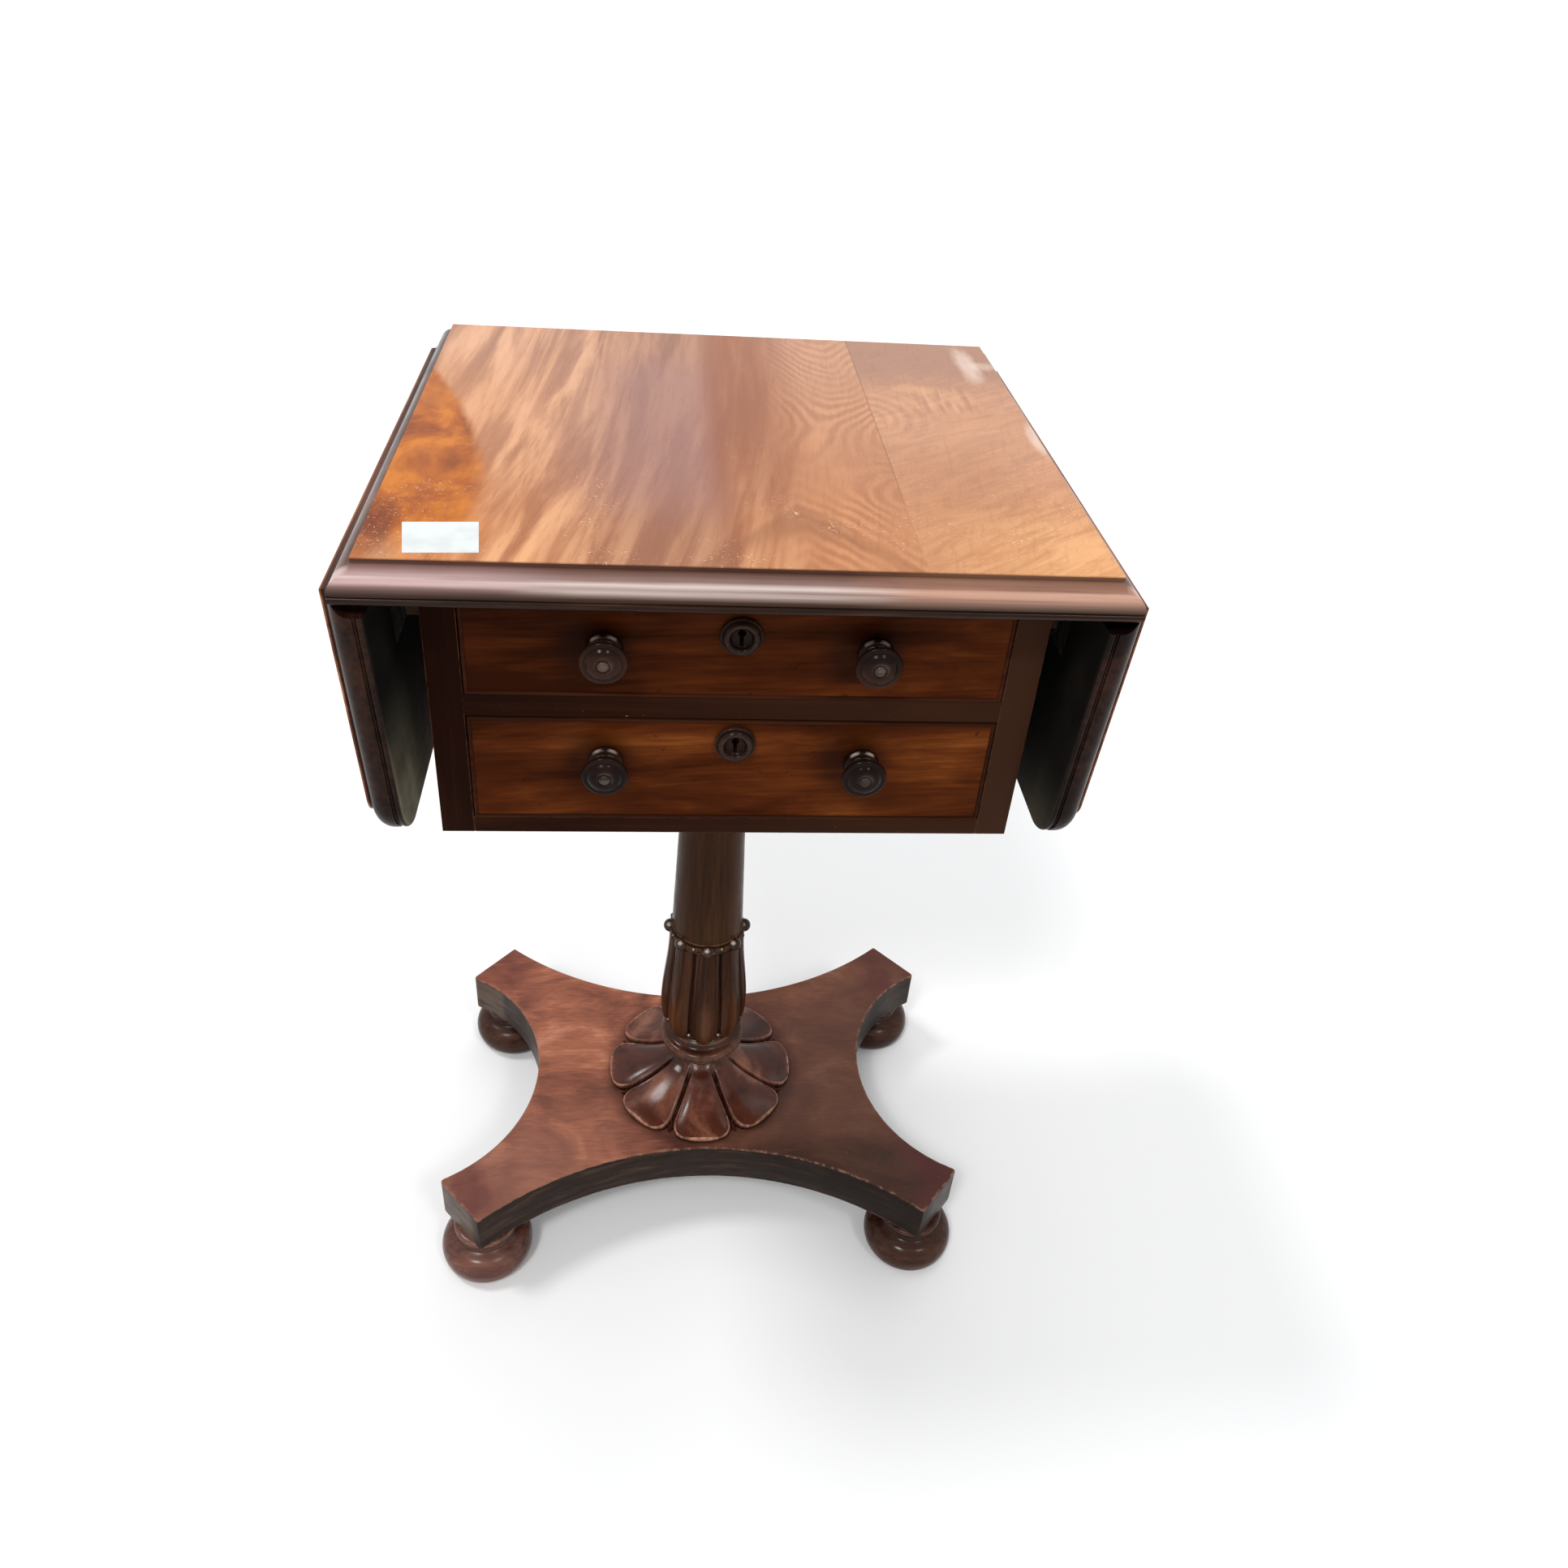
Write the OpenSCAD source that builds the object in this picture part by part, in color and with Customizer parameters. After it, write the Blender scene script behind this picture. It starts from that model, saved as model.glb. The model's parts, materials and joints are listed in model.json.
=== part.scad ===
// Drop-leaf work table: a two-drawer box under a hinged top, on a carved column
// and a hollow-sided platform with four turned feet.
// Millimetres. The floor is z = 0, the column stands on the origin, the drawers face -Y.

/* [Top] */
// Height of the table top above the floor
table_h = 730; // [700:1:780]
// Width of the fixed top's flat, between the two leaf joints
top_w = 416; // [400:1:460]
// Depth of the top's flat, front to back
top_d = 386; // [375:1:430]
// Thickness of the top and the leaves
top_t = 23; // [22.5:0.5:28]
// Height of the small step above the edge moulding
edge_fillet = 3.2; // [2:0.1:4]
// Radius of the quarter round along the edges
edge_r = 11.5; // [9:0.5:12]
// Height of the flat under the quarter round
edge_step = 2.2; // [1:0.1:3]
// Height of the groove over the bottom bead
quirk_h = 1.2; // [0.8:0.1:1.6]
// Depth of the groove over the bottom bead
quirk_d = 1.2; // [0.6:0.1:1.8]

/* [Leaves] */
// Reach of a leaf from its hinge axis to its outer edge
leaf_w = 168; // [120:1:200]
// Corner radius of a leaf
leaf_corner_r = 26; // [20:1:60]
// Lean of a hanging leaf towards the box, in degrees
leaf_lean = 3.3; // [0:0.1:4]
// Depth of the hinge axis below the top surface
joint_drop = 18; // [17:0.5:19]
// Radius of the quarter round that the leaf turns on
joint_r = 12; // [10:0.5:12.5]
// Gap between the quarter round and the leaf's hollow
joint_gap = 0.4; // [0.3:0.05:0.8]

/* [Leaf hinges] */
// Distance of each hinge from the middle of the leaf
hinge_y = 130; // [90:1:150]
// Length of a hinge along its axis
hinge_l = 38; // [30:1:50]
// Length of the middle knuckle
knuckle_l = 12; // [8:1:16]
// Outer radius of a hinge knuckle
knuckle_r = 3.4; // [3:0.1:4]
// Radius of a hinge pin
hinge_pin_r = 1.5; // [1:0.1:2]
// Thickness of the hinge plates
plate_t = 2; // [1.5:0.1:2.5]
// Reach of the plate under the fixed top
plate_l = 36; // [30:1:50]
// Reach of the strap under a leaf
strap_l = 62; // [50:1:80]
// Radius of a hinge screw's shank
hinge_screw_r = 1.5; // [1:0.1:1.8]
// Radius of a hinge screw's head
hinge_screw_head_r = 3; // [2.5:0.1:3.5]
// Length of a hinge screw
hinge_screw_l = 12; // [8:1:14]

/* [Box] */
// Distance from a leaf joint in to the box's side
box_side_inset = 28; // [24:1:50]
// Distance from the end of the top's flat in to the front and the back of the box
box_end_inset = 20; // [12:1:30]
// Thickness of the box sides
side_t = 20; // [15:1:24]
// Thickness of the back panel
back_t = 12; // [8:1:16]
// Thickness of the bottom board and the bottom rail
bottom_t = 12; // [8:1:18]
// Clear height of the lower drawer's opening
lower_opening_h = 77; // [60:1:110]
// Thickness of the rail between the drawers
middle_rail_t = 15; // [12:1:20]
// Clear height of the upper drawer's opening
upper_opening_h = 61; // [56:1:90]
// Thickness of the rail over the upper drawer
top_rail_t = 14; // [10:1:24]
// Depth of the middle and top rails, front to back
rail_d = 40; // [30:1:60]
// Depth of the bottom rail, front to back
bottom_rail_d = 20; // [15:1:30]
// Thickness of the board between the drawers
dust_board_t = 5; // [3:1:7]
// Width of the runners and of the strips under the top
runner_w = 15; // [10:1:20]

/* [Drawers] */
// Gap round a drawer front
drawer_gap = 0.8; // [0.4:0.1:1.5]
// Gap between a drawer and what it runs on
running_gap = 0.3; // [0.2:0.1:0.5]
// Room behind a closed drawer
drawer_back_room = 14; // [5:1:50]
// Thickness of the drawer fronts
front_t = 18; // [16:1:22]
// Thickness of the drawer sides
drawer_side_t = 9; // [6:1:12]
// Thickness of the drawer backs
drawer_back_t = 8; // [6:1:12]
// Thickness of the drawer bottoms
drawer_bottom_t = 5; // [3:0.5:7]
// Height of a drawer bottom above the lower edge of its sides
drawer_bottom_lift = 6; // [4:0.5:9]
// Step from a drawer front's top edge down to its sides
drawer_side_drop = 4; // [2:0.5:8]
// Width of the bead round a drawer front
bead_w = 2.4; // [1.5:0.1:4]
// Depth of the bead strip
bead_d = 8; // [5:0.5:8.5]
// How far the bead stands proud of the drawer front
bead_proud = 1.2; // [0.5:0.1:2]
// Length of a drawer stop
stop_w = 30; // [15:1:50]
// Height of a drawer stop
stop_h = 3; // [2:0.5:4]
// Depth of a drawer stop
stop_d = 12; // [8:1:20]
// Distance of the drawer stops from the middle
stop_x = 80; // [60:1:110]

/* [Knobs] */
// Distance of each knob from the middle of the drawer
knob_x = 78; // [50:1:110]
// Height of the knobs above the middle of the upper drawer
upper_knob_lift = 5; // [0:0.5:10]
// Height of the knobs above the middle of the lower drawer
lower_knob_lift = 9.5; // [0:0.5:14]
// Radius of a knob's front disc
knob_r = 13.8; // [11:0.1:16]
// Length of a knob in front of the drawer
knob_l = 25; // [20:0.5:30]
// Radius of the peg that holds a knob
knob_peg_r = 4.5; // [3:0.1:6]
// Length of the peg that holds a knob
knob_peg_l = 13; // [8:0.5:15]

/* [Locks] */
// Radius of the keyhole boss
boss_r = 12.6; // [11:0.1:15]
// Thickness of the keyhole boss
boss_t = 6; // [4:0.1:8]
// Distance of the keyhole below the drawer front's top edge
keyhole_drop = 13.9; // [13.5:0.1:18]
// Radius of the round part of a keyhole
keyhole_r = 2.4; // [2:0.1:3]
// Width of the slot part of a keyhole
keyhole_slot_w = 2.2; // [1.5:0.1:3]
// Length of the slot part of a keyhole
keyhole_slot_l = 8; // [6:0.5:10]
// Width of a lock case
lock_w = 50; // [40:1:60]
// Height of a lock case
lock_h = 32; // [28:1:40]
// Depth of a lock case
lock_d = 9; // [8:0.5:9.5]
// Wall of a lock case
lock_wall = 1.2; // [0.8:0.1:1.5]
// Width of a lock bolt
bolt_w = 16; // [12:1:24]
// Height of a lock bolt
bolt_h = 10; // [9:0.5:10.5]
// Thickness of a lock bolt
bolt_t = 5; // [4:0.5:6]
// Travel of a lock bolt
bolt_throw = 6; // [4:0.5:6.5]
// Radius of the pin that a key turns on
key_pin_r = 1.1; // [0.8:0.1:1.4]
// Gap round a lock bolt
bolt_gap = 0.3; // [0.2:0.1:0.6]

/* [Fly brackets] */
// Height of a bracket
bracket_h = 36; // [28:1:50]
// Thickness of a bracket
bracket_t = 12; // [10:0.5:13]
// Length of the fixed part of a bracket
bracket_rail_l = 130; // [90:1:140]
// Length of the swinging arm from its pin
bracket_arm_l = 110; // [80:1:130]
// Place of the bracket's pin, behind the middle of the box
bracket_y = -20; // [-30:1:0]
// Height of the arm at its free end
arm_end_h = 20; // [12:1:26]
// Radius of a bracket pin
bracket_pin_r = 1.6; // [1.2:0.1:2]
// Gap between the fingers of the bracket joint
finger_gap = 0.4; // [0.3:0.1:0.6]
// Gap between a swinging arm and the box side
arm_gap = 0.5; // [0.4:0.1:1]

/* [Column] */
// Radius of the shaft under the box
shaft_top_r = 23; // [20:0.5:30]
// Radius of the shaft above the beads
shaft_foot_r = 30.5; // [28:0.5:31]
// Radius of the band that carries the beads
band_r = 31.5; // [31:0.5:34]
// Height of the band above and below the beads
band_rim = 0.4; // [0.2:0.1:1.5]
// Radius of a large bead
bead_ball_r = 5.8; // [4:0.1:7]
// How far the beads' middles stand out of the band
bead_out = 0.6; // [0.4:0.1:1.5]
// Radius of a small bead
small_bead_r = 2.6; // [1.5:0.1:3.5]
// Number of lobes, beads and petals
lobes = 8; // [6:1:10]
// Height of the lobed part
lobed_h = 112; // [90:1:140]
// Radius of the lobed part at its top
lobed_top_r = 32.5; // [30:0.5:36]
// Radius of the lobed part at its belly
lobed_belly_r = 39; // [35:0.5:44]
// Height of the belly above the lobes' lower ends
belly_h = 26; // [15:1:40]
// Depth of the grooves between the lobes
groove_d = 3.2; // [1:0.1:5]
// Height of the turned collar under the lobes
collar_h = 39; // [30:1:50]
// Radius of the collar's ring
collar_ring_r = 38.5; // [34:0.5:42]
// Half the thickness of the collar's ring
collar_ring_t = 5; // [4:0.5:7]
// Radius of the collar's neck
collar_neck_r = 22; // [18:0.5:26]
// Radius of the spindle that threads the carved pieces
spindle_r = 12; // [8:0.5:15]
// Gap between the spindle and the pieces on it
spindle_gap = 0.3; // [0.2:0.05:0.5]
// Width of the square plate under the box
column_plate_w = 150; // [120:1:180]
// Thickness of the plate under the box
column_plate_t = 18; // [14:1:24]
// Length of the peg on top of the shaft
column_peg_l = 15; // [8:1:17]

/* [Lotus collar] */
// Radius of the petal tips
petal_tip_r = 86; // [75:0.5:87]
// How far the outline dips between two petals
petal_notch = 12; // [4:0.5:18]
// Height of the lotus collar
lotus_h = 32; // [26:1:40]
// Thickness of a petal at its tip
petal_tip_t = 7; // [4:0.5:10]
// Depth of the valleys between the petals
petal_valley = 3.5; // [1:0.1:5]

/* [Platform] */
// Height of the platform's top above the floor
platform_top = 87; // [75:1:100]
// Thickness of the platform
platform_t = 41.5; // [30:0.5:46]
// Half the platform's width, to the ends of its arms
arm_x = 228; // [210:1:250]
// Half the width of the platform's side, where the arms end
arm_y = 117; // [105:1:125]
// Half the platform's depth, to the ends of its arms
front_y = 158; // [145:1:175]
// Half the width of the platform's front, where the arms end
front_x = 190.5; // [175:1:205]
// Half the width of the platform's waist
waist_x = 153; // [130:1:170]
// Half the depth of the platform's waist
waist_y = 90; // [88:0.5:100]

/* [Feet] */
// Distance of each foot from the middle, side to side
foot_x = 190; // [175:1:195]
// Distance of each foot from the middle, front to back
foot_y = 126; // [115:1:130]
// Largest radius of a foot
foot_r = 39.5; // [34:0.5:42]
// Radius of a foot where it stands on the floor
foot_base_r = 33; // [26:0.5:33.5]
// Height of the foot's widest place
foot_rim_h = 14; // [10:0.5:16]
// Height of the foot's round shoulder
foot_shoulder_h = 31; // [26:0.5:34]
// Radius of the foot's neck
foot_neck_r = 24; // [20:0.5:28]
// Height of the ring over the foot's neck
foot_ring_h = 6; // [4:0.5:8]
// Radius of the peg that holds a foot
foot_peg_r = 12; // [8:0.5:15]
// Length of the peg that holds a foot
foot_peg_l = 25; // [15:1:28]

/* [Wood screws] */
// Radius of a wood screw's shank
screw_r = 2; // [1.5:0.1:2.5]
// Radius of a wood screw's head
screw_head_r = 4; // [3:0.1:4.5]
// Length of a wood screw
screw_l = 30; // [26:1:32]
// Distance of the top's screws in from the front and the back of the box
top_screw_inset = 60; // [40:1:120]
// Gap round the screws and pegs
fit_gap = 0.1; // [0.05:0.05:0.2]

/* [Hidden] */
$fn = 48;
polished = "saddlebrown";
dark_wood = "#3a2419";
plain_wood = "#a5794c";
brass = "#b08d4f";
steel = "#77726a";
over = 1;

under_top = table_h - top_t;
axis_z = table_h - joint_drop;
axis_x = top_w / 2;
axis_to_under = top_t - joint_drop;
half_depth = top_d / 2 + edge_r;
box_h = bottom_t + lower_opening_h + middle_rail_t + upper_opening_h + top_rail_t;
box_bottom = under_top - box_h;
box_x = axis_x - box_side_inset;
box_y = top_d / 2 - box_end_inset;
inner_x = box_x - side_t;
inner_back = box_y - back_t;
lower_floor = box_bottom + bottom_t;
upper_floor = lower_floor + lower_opening_h + middle_rail_t;
knuckle_clear = norm([knuckle_r, axis_to_under]) + 0.6;
plate_bottom = box_bottom - column_plate_t;
lotus_top = platform_top + lotus_h;
collar_top = lotus_top + collar_h;
lobed_top = collar_top + lobed_h;
band_h = 2 * (bead_ball_r + band_rim);
band_top = lobed_top + band_h;
platform_bottom = platform_top - platform_t;
bracket_pin_x = box_x + bracket_t / 2;
finger_h = bracket_h / 5;
top_screw_y = box_y - top_screw_inset;

// Helpers

// Both sides of the table: the second copy is the first one's mirror image
module both_sides() {
  children();
  mirror([1, 0, 0]) children();
}

// A board from its lowest corner to its highest corner
module board(low, high) {
  translate(low) cube(high - low);
}

// Outline of the moulded edge, from inside the board out; the flat's edge is x = 0
module edge_outline(inside) {
  round_y = -(edge_fillet + edge_r);
  step_y = round_y - edge_step;
  bead_y = step_y - quirk_h;
  bead_r = (top_t + bead_y) / 2;
  translate([-inside, -top_t]) square([inside, top_t]);
  intersection() {
    translate([0, round_y]) circle(edge_r);
    translate([0, round_y]) square(edge_r);
  }
  translate([-inside, step_y]) square([inside + edge_r, edge_step]);
  translate([-inside, bead_y]) square([inside + edge_r - quirk_d, quirk_h]);
  translate([-inside, -top_t]) square([inside + edge_r - bead_r, 2 * bead_r]);
  translate([edge_r - bead_r, bead_r - top_t]) circle(bead_r);
}

// Section of the fixed top across its leaf joints
module joint_outline() {
  intersection() {
    union() {
      translate([-axis_x, -top_t]) square([top_w, top_t]);
      for (side = [-1, 1]) translate([side * axis_x, -joint_drop]) circle(joint_r);
    }
    translate([-axis_x - joint_r, -top_t]) square([top_w + 2 * joint_r, top_t]);
  }
}

// Rod along Y, centred
module rod_y(r, l) {
  rotate([90, 0, 0]) cylinder(r = r, h = l, center = true);
}

// Countersunk screw with its head's face at the origin, pointing along +Z
module screw(shank, head, length, slot = true) {
  difference() {
    union() {
      cylinder(r1 = head, r2 = shank, h = head - shank);
      cylinder(r = shank, h = length);
    }
    if (slot) translate([-head, -shank / 4, -over]) cube([2 * head, shank / 2, over + shank / 4]);
  }
}

// The hole that a screw sits in
module screw_hole(shank, head, length) {
  screw(shank + fit_gap, head + fit_gap, length + fit_gap, false);
}

// Places of the hinges along the joint
module at_hinges() {
  for (y = [-hinge_y, hinge_y]) translate([0, y, 0]) children();
}

// A leaf's own frame, with the hinge axis at the origin and the leaf reaching out along +X,
// set on the right joint as the leaf hangs
module hanging() {
  translate([axis_x, 0, axis_z]) rotate([0, 90 + leaf_lean, 0]) children();
}

// Places of the screws in a hinge plate or strap that reaches from near to far
module at_plate_screws(near, far) {
  for (i = [0, 1])
    translate([near + (far - near) * (0.25 + 0.5 * i), (i - 0.5) * hinge_l / 2.4, 0]) children();
}

// Base

// Four slanting lines that the arms end on, with an arc cut out of each side
module platform_outline() {
  side_arc_r = (arm_y * arm_y + pow(arm_x - waist_x, 2)) / (2 * (arm_x - waist_x));
  front_arc_r = (front_x * front_x + pow(front_y - waist_y, 2)) / (2 * (front_y - waist_y));
  slant = (front_y - arm_y) / (arm_x - front_x);
  far_x = arm_x + arm_y / slant;
  far_y = front_y + front_x * slant;
  difference() {
    polygon([[far_x, 0], [0, far_y], [-far_x, 0], [0, -far_y]]);
    for (side = [-1, 1]) {
      translate([side * (waist_x + side_arc_r), 0]) circle(side_arc_r);
      translate([0, side * (waist_y + front_arc_r)]) circle(front_arc_r);
    }
  }
}

module at_feet() {
  for (x = [-foot_x, foot_x], y = [-foot_y, foot_y]) translate([x, y, 0]) children();
}

module platform() {
  color(polished)
  difference() {
    translate([0, 0, platform_bottom]) linear_extrude(platform_t) platform_outline();
    translate([0, 0, platform_bottom - over])
      cylinder(r = spindle_r + spindle_gap, h = platform_t + 2 * over);
    at_feet() translate([0, 0, platform_bottom - over])
      cylinder(r = foot_peg_r + fit_gap, h = foot_peg_l + over + fit_gap);
  }
}

module foot() {
  ring_z = platform_bottom - foot_ring_h;
  ledge_r = foot_neck_r + 3;
  color(polished)
  rotate_extrude() polygon(concat(
    [[0, 0]],
    [for (a = [-90 : 15 : 0])
      [foot_base_r + (foot_r - foot_base_r) * cos(a), foot_rim_h * (1 + sin(a))]],
    [for (a = [15 : 15 : 90])
      [ledge_r + (foot_r - ledge_r) * cos(a), foot_rim_h + (foot_shoulder_h - foot_rim_h) * sin(a)]],
    [[foot_neck_r, foot_shoulder_h + 1.5]],
    [for (a = [-90 : 30 : 90])
      [foot_neck_r + foot_ring_h / 2 * cos(a), ring_z + foot_ring_h * (1 + sin(a)) / 2]],
    [[foot_peg_r, platform_bottom], [foot_peg_r, platform_bottom + foot_peg_l],
     [0, platform_bottom + foot_peg_l]]
  ));
}

// Column

// Half-angle from a petal's or lobe's middle line, from 0 to 1 at the groove
function from_middle(a) = abs((a * lobes / 360) % 1 * 2 - (((a * lobes / 360) % 1 > 0.5) ? 2 : 0));

// Triangles that join rings of points into one closed skin with flat ends
function skin_faces(rings, n) = concat(
  [for (i = [0 : rings - 2], j = [0 : n - 1])
    [i * n + j, (i + 1) * n + j, i * n + (j + 1) % n]],
  [for (i = [0 : rings - 2], j = [0 : n - 1])
    [i * n + (j + 1) % n, (i + 1) * n + j, (i + 1) * n + (j + 1) % n]],
  [[for (j = [0 : n - 1]) j]],
  [[for (j = [n - 1 : -1 : 0]) (rings - 1) * n + j]]
);

module spindle_hole() {
  translate([0, 0, -over]) cylinder(r = spindle_r + spindle_gap, h = table_h);
}

module lotus_collar() {
  steps = lobes * 10;
  rows = 9;
  neck_r = collar_neck_r - 1;
  function outline_r(m) = petal_tip_r - petal_notch * pow(m, 4);
  function top_z(s, m) = petal_tip_t + (lotus_h - petal_tip_t) * pow(1 - s, 2.6)
    - petal_valley * pow(m, 6) * sin(180 * min(1, s + 0.15));
  points = concat(
    [for (j = [0 : steps - 1]) let (a = 360 * j / steps, m = from_middle(a))
      [(outline_r(m) - 2) * cos(a), (outline_r(m) - 2) * sin(a), 0]],
    [for (i = [rows : -1 : 0], j = [0 : steps - 1])
      let (a = 360 * j / steps, m = from_middle(a), s = i / rows, r = neck_r + (outline_r(m) - neck_r) * s)
      [r * cos(a), r * sin(a), top_z(s, m)]]
  );
  color(polished)
  difference() {
    translate([0, 0, platform_top]) polyhedron(points, skin_faces(rows + 2, steps));
    spindle_hole();
  }
}

module turned_collar() {
  ring_z = collar_h * 0.6;
  color(dark_wood)
  translate([0, 0, lotus_top]) rotate_extrude() polygon(concat(
    [[spindle_r + spindle_gap, 0], [collar_neck_r - 1, 0], [collar_neck_r, collar_h * 0.12]],
    [for (i = [0 : 4])
      [collar_neck_r + (collar_ring_r - collar_ring_t - collar_neck_r) * pow(i / 4, 1.8),
       collar_h * 0.12 + (ring_z - collar_ring_t - collar_h * 0.12) * i / 4]],
    [for (a = [-75 : 15 : 75])
      [collar_ring_r - collar_ring_t * (1 - cos(a)), ring_z + collar_ring_t * sin(a)]],
    [[collar_ring_r - 2 * collar_ring_t, ring_z + collar_ring_t],
     [lobed_top_r - 3, collar_h - 2], [lobed_top_r - 1, collar_h],
     [spindle_r + spindle_gap, collar_h]]
  ));
}

module lobed_baluster() {
  steps = lobes * 6;
  rows = 14;
  round_h = 9;
  function end_dip(d) = d < round_h ? 5 * (1 - sqrt(1 - pow(1 - d / round_h, 2))) : 0;
  function swell(z) = z < belly_h ? 1 : (1 + cos(180 * (z - belly_h) / (lobed_h - belly_h))) / 2;
  function row_z(i) = lobed_h * (1 - cos(180 * i / rows)) / 2;
  points = [for (i = [0 : rows], j = [0 : steps - 1])
    let (a = 360 * j / steps, z = row_z(i),
      r = lobed_top_r + (lobed_belly_r - lobed_top_r) * swell(z) - end_dip(z) - end_dip(lobed_h - z) / 3
        - groove_d * pow(from_middle(a), 2.4))
    [r * cos(a), r * sin(a), z]];
  color(dark_wood)
  difference() {
    translate([0, 0, collar_top]) polyhedron(points, skin_faces(rows + 1, steps));
    spindle_hole();
  }
}

module column() {
  color(dark_wood) union() {
    rotate_extrude() polygon([
      [0, platform_bottom], [spindle_r, platform_bottom], [spindle_r, lobed_top],
      [band_r - 1, lobed_top], [band_r, lobed_top + 1], [band_r, band_top - 1],
      [band_r - 1, band_top], [shaft_foot_r, band_top],
      [shaft_top_r, plate_bottom], [spindle_r, plate_bottom],
      [spindle_r, plate_bottom + column_peg_l], [0, plate_bottom + column_peg_l]
    ]);
    for (i = [0 : lobes - 1]) rotate(360 * i / lobes) {
      translate([band_r + bead_out, 0, lobed_top + band_h / 2]) sphere(bead_ball_r);
      rotate(180 / lobes) translate([band_r + bead_out, 0, lobed_top + band_h / 2]) sphere(small_bead_r);
    }
  }
}

module at_plate_corners() {
  off = column_plate_w / 2 - 15;
  for (x = [-off, off], y = [-off, off]) translate([x, y, 0]) children();
}

module column_plate() {
  color(dark_wood)
  difference() {
    translate([0, 0, plate_bottom + column_plate_t / 2])
      cube([column_plate_w, column_plate_w, column_plate_t], center = true);
    translate([0, 0, plate_bottom - over])
      cylinder(r = spindle_r + spindle_gap, h = column_peg_l + over + spindle_gap);
    at_plate_corners() translate([0, 0, plate_bottom])
      screw_hole(screw_r, screw_head_r, column_plate_t + over);
  }
}

// Box

module bottom_board() {
  color(plain_wood)
  difference() {
    board([-inner_x, -box_y + bottom_rail_d, box_bottom], [inner_x, inner_back, lower_floor]);
    at_plate_corners() translate([0, 0, plate_bottom])
      cylinder(r = screw_r + fit_gap, h = plate_screw_l + fit_gap);
  }
}

// The plate's screws stop inside the bottom board
plate_screw_l = column_plate_t + bottom_t - 2;

module box_side() {
  color(polished)
  difference() {
    board([inner_x, -box_y, box_bottom], [box_x, box_y, under_top]);
    at_bracket_screws() rotate([0, -90, 0])
      cylinder(r = screw_r + fit_gap, h = bracket_screw_l + fit_gap);
  }
}

module back_panel() {
  color(polished) board([-inner_x, inner_back, box_bottom], [inner_x, box_y, under_top]);
}

module bottom_rail() {
  color(polished)
  board([-inner_x, -box_y, box_bottom], [inner_x, -box_y + bottom_rail_d, lower_floor]);
}

// Mortise that takes a thrown bolt, over an opening whose ceiling is at z
module bolt_mortise(z) {
  translate([0, bolt_y, z + bolt_throw / 2 - over / 2])
    cube([bolt_w + 4 * bolt_gap, bolt_t + 4 * bolt_gap, bolt_throw + over + 2 * bolt_gap], center = true);
}

module rail_over(z, thickness) {
  color(polished)
  difference() {
    board([-inner_x, -box_y, z], [inner_x, -box_y + rail_d, z + thickness]);
    bolt_mortise(z);
  }
}

module middle_rail() {
  rail_over(lower_floor + lower_opening_h, middle_rail_t);
}

module top_rail() {
  rail_over(upper_floor + upper_opening_h, top_rail_t);
}

module dust_board() {
  color(plain_wood)
  board([-inner_x, -box_y + rail_d, upper_floor - middle_rail_t / 2 - dust_board_t / 2],
    [inner_x, inner_back, upper_floor - middle_rail_t / 2 + dust_board_t / 2]);
}

module drawer_runners() {
  low = upper_floor - middle_rail_t / 2 + dust_board_t / 2;
  color(plain_wood) both_sides()
    board([inner_x - runner_w, -box_y + rail_d, low], [inner_x, inner_back, upper_floor]);
}

module at_top_screws() {
  for (side = [-1, 1], y = [-top_screw_y, top_screw_y])
    translate([side * (inner_x - runner_w / 2), y, under_top - top_rail_t]) children();
}

module top_strips() {
  color(plain_wood)
  difference() {
    both_sides()
      board([inner_x - runner_w, -box_y + rail_d, under_top - top_rail_t], [inner_x, inner_back, under_top]);
    at_top_screws() screw_hole(screw_r, screw_head_r, screw_l);
  }
}

module drawer_stops() {
  y = -box_y + front_t + running_gap;
  color(plain_wood)
  for (floor = [lower_floor, upper_floor]) both_sides()
    board([stop_x - stop_w / 2, y, floor], [stop_x + stop_w / 2, y + stop_d, floor + stop_h]);
}

// Fixed top and its hinges

module table_top() {
  color(polished)
  difference() {
    translate([0, 0, table_h]) intersection() {
      rotate([90, 0, 90]) linear_extrude(top_w + 2 * joint_r + 2 * over, center = true)
        for (flip = [0, 1]) mirror([flip, 0]) translate([top_d / 2, 0]) edge_outline(top_d / 2);
      rotate([90, 0, 0]) linear_extrude(2 * (half_depth + over), center = true) joint_outline();
    }
    both_sides() translate([axis_x, 0, axis_z]) at_hinges() {
      rod_y(knuckle_clear, hinge_l + 2 * joint_gap);
      translate([0, -hinge_l / 2 - joint_gap, -axis_to_under - over])
        cube([joint_r + over, hinge_l + 2 * joint_gap, over + plate_t + joint_gap]);
      translate([-plate_l, -hinge_l / 2, -axis_to_under - over]) cube([plate_l, hinge_l, plate_t + over]);
      translate([0, 0, -axis_to_under]) mirror([1, 0, 0]) at_plate_screws(knuckle_clear, plate_l)
        cylinder(r = hinge_screw_r + fit_gap, h = hinge_screw_l + fit_gap);
    }
    at_top_screws() cylinder(r = screw_r + fit_gap, h = screw_l + fit_gap);
  }
}

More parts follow.
